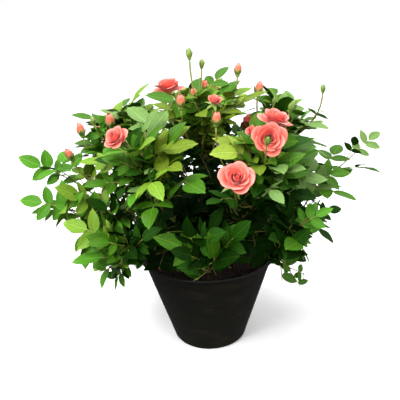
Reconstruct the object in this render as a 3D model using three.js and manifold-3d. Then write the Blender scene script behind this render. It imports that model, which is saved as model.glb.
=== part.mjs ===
// A miniature rose bush in its pot, in millimetres, with +Z up.
// The origin is the centre of the pot's flat underside, and the bush's front is -Y.
// Canes rise from one short stem, and each carries one mass of leaves, blooms and buds.
import * as THREE from "three";
import { mergeVertices } from "three/addons/utils/BufferGeometryUtils.js";
import Module from "manifold-3d";

const wasm = await Module();
wasm.setup();

const GAP = 0.3; // between two pieces that meet
const UP = new THREE.Vector3(0, 0, 1);
const GOLDEN_ANGLE = 137.508; // degrees between one leaf and the next round a stem

// Pot and compost
const POT_HEIGHT = 105;
const POT_BASE_RADIUS = 41;
const POT_RIM_RADIUS = 77; // from the middle of the lip to either side
const POT_OVAL = 0.93; // the lip's depth from front to back, of its width
const POT_WALL = 2.6;
const POT_FLOOR = 4;
const POT_SIDES = 44;
const FOOT_ROUND = 2;
const FLARE_HEIGHT = 6; // the lip flares out over the top of the wall
const FLARE_STEP = 5.5;
const LIP_RADIUS = 1.5;
const COMPOST_DEPTH = 12; // from the lip down to the compost at the wall
const COMPOST_MOUND = 2;
const COMPOST_TOP = POT_HEIGHT - COMPOST_DEPTH + COMPOST_MOUND;
const COMPOST_SIDES = 22;

// Short stem and canes
const STEM_HEIGHT = 20;
const STEM_FLARE_RADIUS = 12;
const STEM_RADIUS = 8;
const STEM_LEAN = 1.5;
const CANE_BASE_RADIUS = 2.1;
const CANE_TIP_RADIUS = 1.7;
const STEM_END_RADIUS = 1.4;
const CANE_SIDES = 5;
const CANE_STEPS = 5;

// Crown: a broad dome over a skirt that hangs lower at both sides than at front and back.
const CROWN_FOOT = new THREE.Vector3(0, 0, 120); // the point that every mass's space opens from
const CROWN_RADIUS = 152;
const CROWN_MIDDLE = -8; // how far the crown's middle lies along X from the pot's
const CROWN_WIDEST = 175; // height of the widest part
const CROWN_RISE = 115; // from there to the top
const CROWN_POWER = 2.4; // over 2 gives a flatter top and steeper shoulders
const LOOK_FROM = new THREE.Vector3(0, 0, 140); // leaves turn their faces away from here
const HANG_DEPTH = 105; // how far under the widest part leaves hang straight down
const SKIRT_SLOPE = 0.42;
const SKIRT_LOW_SIDES = 56;
const SKIRT_LOW_FRONT = 138;
const LOWEST_ELEVATION = -32;

// Each mass's space lies round one direction, seen from the crown's foot. A cane ends at a
// distance from the axis and a height, and its mass's stem heads for another elevation, in a
// heart of its own radius.
const RINGS = [
  { name: "top", count: 1, elevation: 90, turn: 0, caneTip: [0, 178], stemElevation: 90, heart: 24 },
  { name: "upper", count: 5, elevation: 47, turn: -52, caneTip: [42, 154], stemElevation: 49, heart: 19 },
  { name: "outer", count: 9, elevation: 13, turn: -90, caneTip: [60, 130], stemElevation: 9, heart: 14 },
];
const SPACE_MARGIN = 0.6; // kept free inside each face of a mass's space
const CANE_ARCH = 0.45; // where an arching cane stops rising, of its tip's distance out
const STEM_SHARE = 0.8; // how far towards the crown's surface a mass's stem runs

// Leaves: each is a stalk with two pairs of leaflets and one at its end.
const SPRAYS = 150;
const TOP_WEIGHT = 1.25; // over 1 sets leaves closer near the top, which is farther out
const LEAN = 0.5; // how far a leaf's face may lean any way, of its rise
const SPREAD = 0.85; // how far a leaf leans away from the middle of its mass
const LEAFLET_LENGTH = 38;
const LEAFLET_WIDTH = 0.66; // of its length
const LEAFLET_THICKNESS = 1.1;
const LEAFLET_WIDEST = 0.42; // of its length, from the root
const LEAFLET_FOLD = 0.18; // rise of the edges over the midrib, of the half width
const END_SIZE = 1.05; // of the leaflet at a leaf's end
const STALK_LENGTH = 42;
const STALK_ARCH = 3;
const TWIG_RADIUS = 0.95;
const STALK_END_RADIUS = 0.75;
const TWIG_FREE = 0.35; // how far along a twig the others must be clear of it
const PAIR_PLACES = [0.36, 0.76]; // along the stalk
const PAIR_SIZES = [0.82, 0.95];
const PAIR_TILTS = [-0.32, -0.02]; // the lower pair hangs under the upper one
const JOINT_LENGTH = 2.6; // the stretch of stalk that a pair grows from
const SIZES_TRIED = [1, 0.8, 0.64]; // a leaflet with no room is tried smaller, then skipped
const MOST_SHRINK = 0.3;
const TRIES = 14; // ways that a leaf is turned, of which the fullest is kept
const LEAST_LEAF = 60; // a leaf with less length of leaflets than this isn't kept

// Leaves that reach out of the dome: where the tip of each ends. They lean their faces one way.
const LONG_LEAN = new THREE.Vector3(0, -1, 0);
const LONG_LEAVES = [
  [-193, -6, 222],
  [-190, -34, 187],
  [-128, 8, 272],
  [202, 62, 217],
  [158, -22, 196],
  [-112, -20, 62],
  [106, -24, 54],
  [58, 166, 204],
  [-74, 158, 196],
];

// Flowers: place, direction that they face, radius and kind.
const FLOWERS = [
  { at: [-30, 18, 285], facing: [-0.3, 0.1, 1], radius: 15.5, kind: "bloom" },
  { at: [-80, -70, 256], facing: [-0.7, -0.3, 0.5], radius: 13.5, kind: "bloom" },
  { at: [64, -60, 268], facing: [0.3, -0.2, 1], radius: 17, kind: "bloom" },
  { at: [53, -90, 256], facing: [0, -1, 0.6], radius: 17.5, kind: "bloom" },
  { at: [27, -126, 234], facing: [0.1, -0.8, 0.8], radius: 18.5, kind: "bloom" },
  { at: [60, 92, 262], facing: [0.4, 0.6, 0.8], radius: 17, kind: "bloom" },
  { at: [-76, 96, 250], facing: [-0.4, 0.7, 0.6], radius: 16, kind: "bloom" },
  { at: [122, 64, 226], facing: [0.8, 0.4, 0.5], radius: 15, kind: "bloom" },
  { at: [10, -40, 286], facing: [0.1, -0.4, 1], radius: 8, kind: "bud" },
  { at: [-139, -8, 224], facing: [-0.6, -0.2, 1], radius: 5.5, kind: "bud" },
  { at: [-126, -6, 246], facing: [-0.3, 0, 1], radius: 6, kind: "bud" },
  { at: [-94, -26, 262], facing: [-0.2, -0.2, 1], radius: 6.5, kind: "bud" },
  { at: [-20, -46, 284], facing: [0, -0.1, 1], radius: 6, kind: "bud" },
  { at: [13, -80, 274], facing: [0.1, -0.1, 1], radius: 6.5, kind: "bud" },
  { at: [-11, 4, 319], facing: [0, 0, 1], radius: 5, kind: "bud" },
  { at: [1, 16, 306], facing: [0.1, 0, 1], radius: 4.5, kind: "bud" },
  { at: [37, 10, 302], facing: [0.1, 0, 1], radius: 6, kind: "bud" },
  { at: [60, 30, 277], facing: [0.2, 0.1, 1], radius: 6.5, kind: "bud" },
  { at: [88, -16, 266], facing: [0.4, -0.1, 1], radius: 6, kind: "bud" },
  { at: [123, 8, 281], facing: [0.2, 0, 1], radius: 4.5, kind: "bud" },
  { at: [20, 122, 262], facing: [0, 0.4, 1], radius: 6.5, kind: "bud" },
  { at: [-118, 66, 240], facing: [-0.5, 0.3, 1], radius: 6, kind: "bud" },
  { at: [-20, 136, 232], facing: [-0.1, 0.8, 0.8], radius: 7, kind: "bud" },
];
const BLOOM_SIDES = 8;
const BUD_SIDES = 5;
const PEDICEL_RADIUS = 0.95;
const PEDICEL_SIDES = 3;
const STEM_SIDES = 4;

// The dense heart of each mass, round its stem, that the leaves stand out of.
const HEART_SHARE = 0.86; // of the stem's length
const HEART_SIDES = 6;

// Random numbers that come out the same each time for the same seed.
function seeded(seed) {
  let state = seed;
  return () => {
    state = (state + 0x6d2b79f5) | 0;
    let t = Math.imul(state ^ (state >>> 15), 1 | state);
    t = (t + Math.imul(t ^ (t >>> 7), 61 | t)) ^ t;
    return ((t ^ (t >>> 14)) >>> 0) / 4294967296;
  };
}

function lerp(a, b, share) {
  return a + (b - a) * share;
}

function vector(x, y, z) {
  return new THREE.Vector3(x, y, z);
}

// The unit direction at an azimuth and elevation in degrees.
function direction(azimuth, elevation) {
  const a = THREE.MathUtils.degToRad(azimuth);
  const e = THREE.MathUtils.degToRad(elevation);
  return vector(Math.cos(e) * Math.cos(a), Math.cos(e) * Math.sin(a), Math.sin(e));
}

// The part of a vector that is square to a unit axis, at length 1.
function squareTo(v, axis) {
  return v.clone().addScaledVector(axis, -v.dot(axis)).normalize();
}

// A point at a share of the way along a line of points, counted by its steps.
function pointAlong(points, share) {
  const place = THREE.MathUtils.clamp(share, 0, 1) * (points.length - 1);
  const step = Math.min(Math.floor(place), points.length - 2);
  return points[step].clone().lerp(points[step + 1], place - step);
}

// Solids

// A closed geometry as a manifold-3d solid.
function solidOf(geometry) {
  const bare = geometry.clone();
  bare.deleteAttribute("normal");
  bare.deleteAttribute("uv");
  const merged = mergeVertices(bare, 1e-4);
  const vertProperties = merged.attributes.position.array;
  const triVerts = new Uint32Array(merged.index.array);
  return new wasm.Manifold(new wasm.Mesh({ numProp: 3, vertProperties, triVerts }));
}

// The main body of a solid, with loose scraps dropped and sealed hollows filled.
function mainBody(solid) {
  return solid.decompose().reduce((a, b) => (b.volume() > a.volume() ? b : a));
}

function geometryOf(solid) {
  const mesh = solid.getMesh();
  const geometry = new THREE.BufferGeometry();
  geometry.setAttribute("position", new THREE.BufferAttribute(mesh.vertProperties, 3));
  geometry.setIndex(new THREE.BufferAttribute(mesh.triVerts, 1));
  geometry.computeVertexNormals();
  return geometry;
}

// A closed body turned about the Z axis, from points of radius and height.
function turned(profile, sides) {
  const points = profile.map(([radius, height]) => new THREE.Vector2(radius, height));
  return new THREE.LatheGeometry(points, sides).rotateX(Math.PI / 2);
}

// A tapering limb with flat ends: a cylinder bent along a line of points.
function limb(points, startRadius, endRadius, sides) {
  const steps = points.length - 1;
  const shape = new THREE.CylinderGeometry(1, 1, 1, sides, steps);
  const frames = [];
  let side = Math.abs(points[1].clone().sub(points[0]).normalize().z) > 0.9
    ? vector(1, 0, 0)
    : vector(0, 0, 1);
  points.forEach((point, i) => {
    const ahead = points[Math.min(i + 1, steps)];
    const behind = points[Math.max(i - 1, 0)];
    const along = ahead.clone().sub(behind).normalize();
    side = squareTo(side, along);
    frames.push({ point, side, other: side.clone().cross(along) });
  });
  const place = shape.attributes.position;
  for (let i = 0; i < place.count; i++) {
    const ring = Math.round((place.getY(i) + 0.5) * steps);
    const radius = lerp(startRadius, endRadius, ring / steps);
    const { point, side: a, other: b } = frames[ring];
    const moved = point
      .clone()
      .addScaledVector(a, place.getX(i) * radius)
      .addScaledVector(b, place.getZ(i) * radius);
    place.setXYZ(i, moved.x, moved.y, moved.z);
  }
  return shape;
}

// Pot, compost and stem

function wallRadius(height) {
  const top = POT_HEIGHT - FLARE_HEIGHT;
  return lerp(POT_BASE_RADIUS, POT_RIM_RADIUS - FLARE_STEP, height / top);
}

// Round at the foot, and oval by degrees towards the lip.
function ovalled(shape) {
  const place = shape.attributes.position;
  for (let i = 0; i < place.count; i++) {
    place.setY(i, place.getY(i) * lerp(1, POT_OVAL, place.getZ(i) / POT_HEIGHT));
  }
  return shape;
}

function potGeometry() {
  const flareFoot = POT_HEIGHT - FLARE_HEIGHT;
  const edge = POT_HEIGHT - COMPOST_DEPTH;
  const lip = { radius: POT_RIM_RADIUS - LIP_RADIUS, height: POT_HEIGHT - LIP_RADIUS };
  const profile = [
    [0, 0],
    [wallRadius(0) - FOOT_ROUND, 0],
    [wallRadius(FOOT_ROUND), FOOT_ROUND],
    [wallRadius(flareFoot), flareFoot],
  ];
  for (let turn = 0; turn <= 180; turn += 45) {
    const angle = THREE.MathUtils.degToRad(turn);
    const reach = LIP_RADIUS * Math.cos(angle);
    profile.push([lip.radius + reach, lip.height + LIP_RADIUS * Math.sin(angle)]);
  }
  profile.push([wallRadius(flareFoot) - POT_WALL, flareFoot]);
  profile.push([wallRadius(edge) - POT_WALL, edge]);
  profile.push([wallRadius(POT_FLOOR) - POT_WALL, POT_FLOOR]);
  profile.push([0, POT_FLOOR]);
  return ovalled(turned(profile, POT_SIDES));
}

function compostGeometry() {
  const foot = POT_FLOOR + GAP;
  const edge = POT_HEIGHT - COMPOST_DEPTH;
  // The sides keep clear of the pot's flats, which lie nearer the axis than its corners.
  const flats = Math.cos(Math.PI / POT_SIDES);
  const inside = (height) => (wallRadius(height) - POT_WALL) * flats - GAP;
  const profile = [
    [0, foot],
    [inside(foot), foot],
    [inside(edge), edge],
    [inside(edge) * 0.6, COMPOST_TOP],
    [0, COMPOST_TOP],
  ];
  return ovalled(turned(profile, COMPOST_SIDES));
}

// The stem's flare, waist and rounded top, each point leaning a little to one side.
function stemGeometry(growth) {
  const foot = COMPOST_TOP + GAP;
  const top = STEM_HEIGHT + growth;
  const profile = [
    [0, foot],
    [STEM_FLARE_RADIUS + growth, foot],
    [STEM_RADIUS + 1.6 + growth, foot + STEM_HEIGHT * 0.16],
    [STEM_RADIUS + growth, foot + STEM_HEIGHT * 0.45],
    [STEM_RADIUS * 0.92 + growth, foot + STEM_HEIGHT * 0.78],
    [STEM_RADIUS * 0.55 + growth, foot + top * 0.95],
    [0, foot + top],
  ];
  const shape = turned(profile, 12);
  const place = shape.attributes.position;
  for (let i = 0; i < place.count; i++) {
    const share = (place.getZ(i) - foot) / STEM_HEIGHT;
    place.setX(i, place.getX(i) + STEM_LEAN * share);
  }
  return shape;
}

// Crown

function insideCrown(point) {
  const radius = Math.hypot(point.x - CROWN_MIDDLE, point.y);
  const rise = point.z - CROWN_WIDEST;
  if (rise < 0) return radius <= CROWN_RADIUS + SKIRT_SLOPE * rise;
  const out = (radius / CROWN_RADIUS) ** CROWN_POWER;
  return out + (rise / CROWN_RISE) ** CROWN_POWER <= 1;
}

// The distance from the crown's foot to its surface along a direction.
function crownReach(along) {
  let near = 0;
  let far = 300;
  for (let i = 0; i < 24; i++) {
    const middle = (near + far) / 2;
    if (insideCrown(CROWN_FOOT.clone().addScaledVector(along, middle))) near = middle;
    else far = middle;
  }
  return near;
}

// The height that the skirt hangs down to on one side of the pot.
function skirtHeight(point) {
  const sideways = point.x ** 2 / (point.x ** 2 + point.y ** 2 + 1);
  return lerp(SKIRT_LOW_FRONT, SKIRT_LOW_SIDES, sideways);
}

// One mass for each place in each ring, with its cane and its stem.
function layOutMasses() {
  const masses = [];
  for (const ring of RINGS) {
    for (let i = 0; i < ring.count; i++) {
      const name = ring.count > 1 ? ring.name + "_" + (i + 1) : ring.name;
      const azimuth = ring.turn + (360 / ring.count) * i;
      const axis = direction(azimuth, ring.elevation);
      const { cane, stem } = limbLines(azimuth, ring, RINGS.indexOf(ring) / (RINGS.length - 1));
      const lines = linePieces(stem);
      masses.push({ name, axis, cane, stem, heart: ring.heart, lines, leaflets: [] });
    }
  }
  return masses;
}

// The lines that a cane and its mass's stem follow, one after the other.
function limbLines(azimuth, ring, place) {
  const sideways = direction(azimuth, 0);
  const [tipRadius, tipHeight] = ring.caneTip;
  const tip = sideways.clone().multiplyScalar(tipRadius).setZ(tipHeight);
  // Inner canes leave the stem higher up than outer ones.
  const start = vector(0, 0, COMPOST_TOP + STEM_HEIGHT * lerp(0.75, 0.35, place));
  start.addScaledVector(sideways, place * 3);
  const bend = sideways.clone().multiplyScalar(tipRadius * CANE_ARCH).setZ(tipHeight);
  const cane = new THREE.QuadraticBezierCurve3(start, bend, tip).getPoints(CANE_STEPS);
  const heading = tip.clone().sub(cane[CANE_STEPS - 1]).normalize();
  const stemStart = tip.clone().addScaledVector(heading, GAP);
  const stemAlong = direction(azimuth, ring.stemElevation);
  const reach = crownReach(stemAlong) * STEM_SHARE;
  const stemEnd = CROWN_FOOT.clone().addScaledVector(stemAlong, reach);
  const stemBend = stemStart.clone().addScaledVector(heading, stemStart.distanceTo(stemEnd) * 0.4);
  const stem = new THREE.QuadraticBezierCurve3(stemStart, stemBend, stemEnd).getPoints(4);
  stem.splice(1, 0, stemStart.clone().addScaledVector(heading, 4));
  return { cane, stem };
}

// How far a point lies inside a mass's space: below 0 it is in a neighbour's.
function depthInSpace(point, mass, masses) {
  const from = point.clone().sub(CROWN_FOOT);
  let depth = Infinity;
  for (const other of masses) {
    if (other === mass) continue;
    const across = mass.axis.clone().sub(other.axis).normalize();
    depth = Math.min(depth, from.dot(across));
  }
  return depth;
}

// A point moved into a mass's space until it lies deep enough.
function pulledInside(point, mass, masses, depth) {
  const moved = point.clone();
  for (let i = 0; i < 3; i++) {
    for (const other of masses) {
      if (other === mass) continue;
      const across = mass.axis.clone().sub(other.axis).normalize();
      const lack = depth - moved.clone().sub(CROWN_FOOT).dot(across);
      if (lack > 0) moved.addScaledVector(across, lack);
    }
  }
  return moved;
}

function clearOfPot(point, margin) {
  const radius = Math.hypot(point.x, point.y / POT_OVAL);
  return radius > POT_RIM_RADIUS + margin || point.z > POT_HEIGHT + margin;
}

// The least distance between two straight pieces a-b and c-d.
function pieceDistance(a, b, c, d) {
  const u = b.clone().sub(a);
  const v = d.clone().sub(c);
  const w = a.clone().sub(c);
  const uu = u.dot(u);
  const uv = u.dot(v);
  const vv = v.dot(v);
  const uw = u.dot(w);
  const vw = v.dot(w);
  const spread = uu * vv - uv * uv;
  let s = spread > 1e-6 ? THREE.MathUtils.clamp((uv * vw - vv * uw) / spread, 0, 1) : 0;
  const t = THREE.MathUtils.clamp((uv * s + vw) / vv, 0, 1);
  s = THREE.MathUtils.clamp((uv * t - uw) / uu, 0, 1);
  return w.addScaledVector(u, s).addScaledVector(v, -t).length();
}

function clearOfCanes(a, b, masses, margin) {
  return masses.every(({ cane }) =>
    cane.slice(1).every((end, i) => pieceDistance(a, b, cane[i], end) > CANE_BASE_RADIUS + margin),
  );
}

// Leaves

// A leaflet's root, tip and two corners, in order round its outline.
function leafletCorners({ root, along, face, length }) {
  const across = along.clone().cross(face);
  const half = (length * LEAFLET_WIDTH) / 2;
  const middle = root
    .clone()
    .addScaledVector(along, length * LEAFLET_WIDEST)
    .addScaledVector(face, half * LEAFLET_FOLD);
  return [
    root,
    middle.clone().addScaledVector(across, half),
    root.clone().addScaledVector(along, length),
    middle.clone().addScaledVector(across, -half),
  ];
}

// The straight pieces that stand for a leaflet: its outline, its midrib and its width.
function leafletLines(corners) {
  const outline = corners.map((corner, i) => [corner, corners[(i + 1) % 4]]);
  return [...outline, [corners[0], corners[2]], [corners[1], corners[3]]];
}

function linePieces(points) {
  return points.slice(1).map((end, i) => [points[i], end]);
}

// Whether a straight piece passes through a triangle.
function pierces([start, end], [a, b, c]) {
  const ray = new THREE.Ray(start, end.clone().sub(start).normalize());
  const hit = ray.intersectTriangle(a, b, c, false, vector(0, 0, 0));
  return hit !== null && hit.distanceTo(start) < end.distanceTo(start);
}

function cornersCross(corners, others) {
  const near = corners[0].distanceTo(others[0]) < 3 * LEAFLET_LENGTH;
  if (!near) return false;
  const halves = ([root, left, tip, right]) => [[root, left, tip], [root, tip, right]];
  const cut = (lines, shape) =>
    halves(shape).some((half) => lines.some((line) => pierces(line, half)));
  return cut(leafletLines(corners), others) || cut(leafletLines(others), corners);
}

// Whether a leaflet stays in its mass's space, off the pot, the limbs, the flowers and other leaves.
function leafletFits(leaflet, siblings, mass, masses) {
  const corners = leafletCorners(leaflet);
  if (corners.some((corner) => depthInSpace(corner, mass, masses) < SPACE_MARGIN)) return false;
  const lines = leafletLines(corners);
  for (const [a, b] of lines) {
    for (let share = 0; share <= 1; share += 0.25) {
      if (!clearOfPot(a.clone().lerp(b, share), 2)) return false;
    }
    if (!clearOfCanes(a, b, masses, 1)) return false;
    if (mass.lines.some(([c, d]) => pieceDistance(a, b, c, d) < TWIG_RADIUS)) return false;
  }
  const apart = siblings.filter((other) => other.pair !== leaflet.pair);
  const others = [...mass.leaflets, ...apart.map(leafletCorners)];
  if (others.some((other) => cornersCross(corners, other))) return false;
  const middle = corners[0].clone().lerp(corners[2], 0.5);
  return FLOWERS.every(({ at, radius }) => {
    const centre = vector(...at);
    return [...corners, middle].every((corner) => corner.distanceTo(centre) > radius + 1);
  });
}

// The largest size at which a leaflet has room, or none.
function fittedLeaflet(leaflet, siblings, mass, masses) {
  for (const size of SIZES_TRIED) {
    const tried = { ...leaflet, length: leaflet.length * size };
    if (leafletFits(tried, siblings, mass, masses)) return tried;
  }
  return null;
}

// The share of a stem's line at which a twig to a place leaves it, sloping forwards.
function branchShare(place, stem, slope) {
  const line = stem[stem.length - 1].clone().sub(stem[0]);
  const length = line.length();
  const reach = place.clone().sub(stem[0]).dot(line) / length;
  const away = place.distanceTo(pointAlong(stem, reach / length));
  return THREE.MathUtils.clamp((reach - slope * away) / length, 0.14, 0.97);
}

// One leaf whose end reaches the given place: its twig, its stalk and its leaflets.
// It heads out from the crown's foot and, by its spread, away from the middle of its mass.
function layOutSpray(tip, mass, masses, { spread, lean }, shrink, random) {
  const [stemStart, stemEnd] = [mass.stem[0], mass.stem[mass.stem.length - 1]];
  const stemAlong = stemEnd.clone().sub(stemStart).normalize();
  const fromStem = tip.clone().sub(stemStart);
  const lateral = fromStem.addScaledVector(stemAlong, -fromStem.dot(stemAlong));
  const low = THREE.MathUtils.clamp((CROWN_WIDEST - tip.z) / HANG_DEPTH, 0, 1);
  const hanging = vector(tip.x, tip.y, 0).setLength(0.5).setZ(-0.87);
  const sway = vector(random() - 0.5, random() - 0.5, random() - 0.6);
  const heading = tip
    .clone()
    .sub(CROWN_FOOT)
    .normalize()
    .lerp(hanging, low)
    .addScaledVector(lateral.setZ(lateral.z * 0.7 * (1 - low)), spread / 45)
    .addScaledVector(sway, 0.4)
    .normalize();
  const outward = tip.clone().sub(LOOK_FROM).setLength(0.8);
  const face = squareTo(outward.add(UP).add(lean), heading);
  const size = lerp(0.86, 1.1, random()) * shrink;
  const droop = lerp(0.1, 0.4, random());
  const endLength = LEAFLET_LENGTH * size * END_SIZE;
  const endAlong = heading.clone().addScaledVector(face, -droop).normalize();
  const stalkEnd = tip.clone().addScaledVector(endAlong, -endLength);
  const stalkAlong = heading.clone().addScaledVector(face, droop).normalize();
  const stalkStart = stalkEnd.clone().addScaledVector(stalkAlong, -STALK_LENGTH * size);
  const joints = PAIR_PLACES.map((share) =>
    stalkStart.clone().lerp(stalkEnd, share).addScaledVector(face, STALK_ARCH * (1 - share)),
  );
  const slope = lerp(0.2, 1.3, random());
  const twigStart = pointAlong(mass.stem, branchShare(stalkStart, mass.stem, slope));
  const path = [twigStart, stalkStart, ...joints, stalkEnd];
  const pieces = linePieces(path);
  const free = [[twigStart.clone().lerp(stalkStart, TWIG_FREE), stalkStart], ...pieces.slice(1)];
  const fits =
    free.every(([a, b]) =>
      mass.lines.every(([c, d]) => pieceDistance(a, b, c, d) > 2 * TWIG_RADIUS)) &&
    path.every((point) => depthInSpace(point, mass, masses) > SPACE_MARGIN + TWIG_RADIUS) &&
    path.every((point) => clearOfPot(point, 3)) &&
    pieces.every(([a, b]) => clearOfCanes(a, b, masses, TWIG_RADIUS)) &&
    !mass.leaflets.some((corners) => pieces.some((piece) =>
      pierces(piece, corners.slice(0, 3)) || pierces(piece, [corners[0], corners[2], corners[3]])));
  if (!fits) return null;

  const across = heading.clone().cross(face);
  const leaflets = [];
  const tryLeaflet = (leaflet) => {
    leaflet.face = squareTo(face.clone().addScaledVector(UP, 0.25), leaflet.along);
    const fitted = fittedLeaflet(leaflet, leaflets, mass, masses);
    if (fitted) leaflets.push(fitted);
  };
  tryLeaflet({ root: stalkEnd, along: endAlong, length: endLength, side: 0 });
  joints.forEach((root, pair) => {
    for (const side of [-1, 1]) {
      const along = stalkAlong
        .clone()
        .multiplyScalar(0.62)
        .addScaledVector(across, 0.9 * side)
        .addScaledVector(face, PAIR_TILTS[pair] + lerp(-0.06, 0.06, random()))
        .normalize();
      tryLeaflet({ root, along, length: LEAFLET_LENGTH * size * PAIR_SIZES[pair], side, pair });
    }
  });
  return { mass, path, face, leaflets };
}

// The length of a spray's leaflets in all.
function leafSum({ leaflets }) {
  return leaflets.reduce((sum, { length }) => sum + length, 0);
}

function nearestMass(point, masses) {
  return masses.reduce((best, mass) =>
    depthInSpace(point, mass, masses) > depthInSpace(point, best, masses) ? mass : best,
  );
}

// Leaf tips spread evenly over the crown's surface, and the long leaves that pass it.
function layOutSprays(masses) {
  const lowest = Math.sin(THREE.MathUtils.degToRad(LOWEST_ELEVATION));
  const sprays = [];
  const grow = (tip, depth, habit, seed) => {
    const mass = nearestMass(tip, masses);
    const place = pulledInside(tip, mass, masses, depth);
    let best = null;
    for (let attempt = 0; attempt < TRIES; attempt++) {
      const random = seeded(seed + 1000 * attempt);
      const shrink = 1 - MOST_SHRINK * (attempt / TRIES);
      const spray = layOutSpray(place, mass, masses, habit, shrink, random);
      if (spray && leafSum(spray) > (best ? leafSum(best) : LEAST_LEAF)) best = spray;
    }
    if (!best) return;
    sprays.push(best);
    mass.leaflets.push(...best.leaflets.map(leafletCorners));
    mass.lines.push(...linePieces(best.path));
  };
  LONG_LEAVES.forEach((tip, i) =>
    grow(vector(...tip), 0, { spread: 0, lean: LONG_LEAN }, 900 + i));
  for (let i = 0; i < SPRAYS; i++) {
    const random = seeded(70000 + i);
    const rise = lerp(1, lowest, ((i + 0.5) / SPRAYS) ** TOP_WEIGHT);
    const along = direction(i * GOLDEN_ANGLE, THREE.MathUtils.radToDeg(Math.asin(rise)));
    const reach = crownReach(along) * lerp(0.93, 1.03, random());
    const tip = CROWN_FOOT.clone().addScaledVector(along, reach);
    const lean = direction(360 * random(), 0).multiplyScalar(LEAN);
    if (tip.z > skirtHeight(tip)) grow(tip, 10, { spread: SPREAD, lean }, 100 + i);
  }
  return sprays;
}

// A blade that grows out of a loop of vertices: four points round its middle, and its tip.
// Each side of the loop meets the middle point of the same number.
function growBlade({ root, along, face, length }, loop, add, faces) {
  const across = along.clone().cross(face);
  const half = (length * LEAFLET_WIDTH) / 2;
  const at = (side, lift) =>
    add(
      root
        .clone()
        .addScaledVector(along, length * LEAFLET_WIDEST)
        .addScaledVector(across, side * half)
        .addScaledVector(face, lift),
    );
  const edgeLift = half * LEAFLET_FOLD;
  const middle = [
    at(1, edgeLift),
    at(0, -LEAFLET_THICKNESS / 2),
    at(-1, edgeLift),
    at(0, LEAFLET_THICKNESS / 2),
  ];
  const tip = add(root.clone().addScaledVector(along, length));
  loop.forEach((vertex, i) => {
    const next = loop[(i + 1) % loop.length];
    faces.push([vertex, next, middle[i]]);
    const last = (i + 1) % loop.length;
    for (let k = i; k !== last; k = (k + 1) % 4) faces.push([next, middle[(k + 1) % 4], middle[k]]);
  });
  middle.forEach((vertex, i) => faces.push([vertex, middle[(i + 1) % 4], tip]));
}

// One leaf as a closed body: a three-sided twig and stalk, with leaflets grown out of its sides.
function sprayGeometry({ path, face, leaflets }) {
  const [twigStart, stalkStart, ...rest] = path;
  const stalkEnd = rest.pop();
  const centres = [twigStart, stalkStart];
  rest.forEach((joint, i) => {
    const ahead = (rest[i + 1] ?? stalkEnd).clone().sub(joint).setLength(JOINT_LENGTH / 2);
    centres.push(joint.clone().sub(ahead), joint.clone().add(ahead));
  });
  centres.push(stalkEnd);

  const vertices = [];
  const faces = [];
  const add = (point) => vertices.push(point) - 1;
  const last = centres.length - 1;
  const rings = [];
  let up = face;
  for (let i = last; i >= 0; i--) {
    const along = centres[Math.min(i + 1, last)].clone().sub(centres[Math.max(i - 1, 0)]).normalize();
    up = squareTo(up, along);
    const right = along.clone().cross(up);
    const radius = lerp(TWIG_RADIUS, STALK_END_RADIUS, i / last);
    const corner = (out, lift) =>
      add(centres[i].clone().addScaledVector(right, out * radius).addScaledVector(up, lift * radius));
    rings[i] = [corner(0, 1), corner(0.87, -0.5), corner(-0.87, -0.5)];
  }
  faces.push(rings[0].slice().reverse());
  for (let i = 0; i < last; i++) {
    const pair = i % 2 === 0 ? i / 2 - 1 : -1;
    for (let side = 0; side < 3; side++) {
      const next = (side + 1) % 3;
      const [a, b, c, d] = [rings[i][side], rings[i][next], rings[i + 1][next], rings[i + 1][side]];
      const hand = [1, 0, -1][side];
      const leaflet = hand ? leaflets.find((each) => each.side === hand && each.pair === pair) : null;
      if (!leaflet) faces.push([a, b, c], [a, c, d]);
      else growBlade(leaflet, hand > 0 ? [a, b, c, d] : [c, d, a, b], add, faces);
    }
  }
  const end = leaflets.find((leaflet) => leaflet.side === 0);
  if (end) growBlade(end, rings[last], add, faces);
  else faces.push(rings[last]);
  const geometry = new THREE.BufferGeometry().setFromPoints(vertices);
  return geometry.setIndex(faces.flat());
}

// The spindle round a mass's stem, narrow at both ends.
function heartGeometry({ stem, heart }) {
  const start = pointAlong(stem, 1 - HEART_SHARE);
  const end = pointAlong(stem, HEART_SHARE);
  const length = start.distanceTo(end);
  const outline = [[0, 0], [0.7, 0.2], [1, 0.55], [0.6, 0.88], [0, 1]];
  const profile = outline.map(([out, along]) => [out * heart, along * length]);
  return faced(turned(profile, HEART_SIDES), start, end.clone().sub(start).normalize());
}

// Flowers

// A solid turned about Z, moved so that its foot is at a place and its axis along a direction.
function faced(shape, foot, axis) {
  const turn = new THREE.Quaternion().setFromUnitVectors(UP, axis);
  return shape.applyQuaternion(turn).translate(foot.x, foot.y, foot.z);
}

// An open bloom is a full cup with a ruffled edge, and a bud a pointed egg.
function flowerGeometry({ at, facing, radius, kind }) {
  const bloom = kind === "bloom";
  const height = radius * (bloom ? 1.3 : 2.6);
  const outline = bloom
    ? [[0, 0], [0.6, 0.12], [1, 0.5], [0.85, 0.92], [0, 0.85]]
    : [[0, 0], [0.8, 0.15], [0.85, 0.55], [0, 1]];
  const sides = bloom ? BLOOM_SIDES : BUD_SIDES;
  const shape = turned(outline.map(([out, up]) => [out * radius, up * height]), sides);
  const axis = vector(...facing).normalize();
  return faced(shape, vector(...at).addScaledVector(axis, -height / 2), axis);
}

// The line of a flower's stalk, from its mass's stem up into the flower's foot.
function pedicelLine({ at, facing, radius }, mass) {
  const axis = vector(...facing).normalize();
  const end = vector(...at).addScaledVector(axis, -radius * 0.4);
  const start = pointAlong(mass.stem, branchShare(end, mass.stem, 1));
  const span = end.distanceTo(start);
  const bend = end
    .clone()
    .addScaledVector(axis, -span * 0.25)
    .addScaledVector(UP, -span * 0.25);
  return new THREE.QuadraticBezierCurve3(start, bend, end).getPoints(2);
}

// Parts

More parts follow.
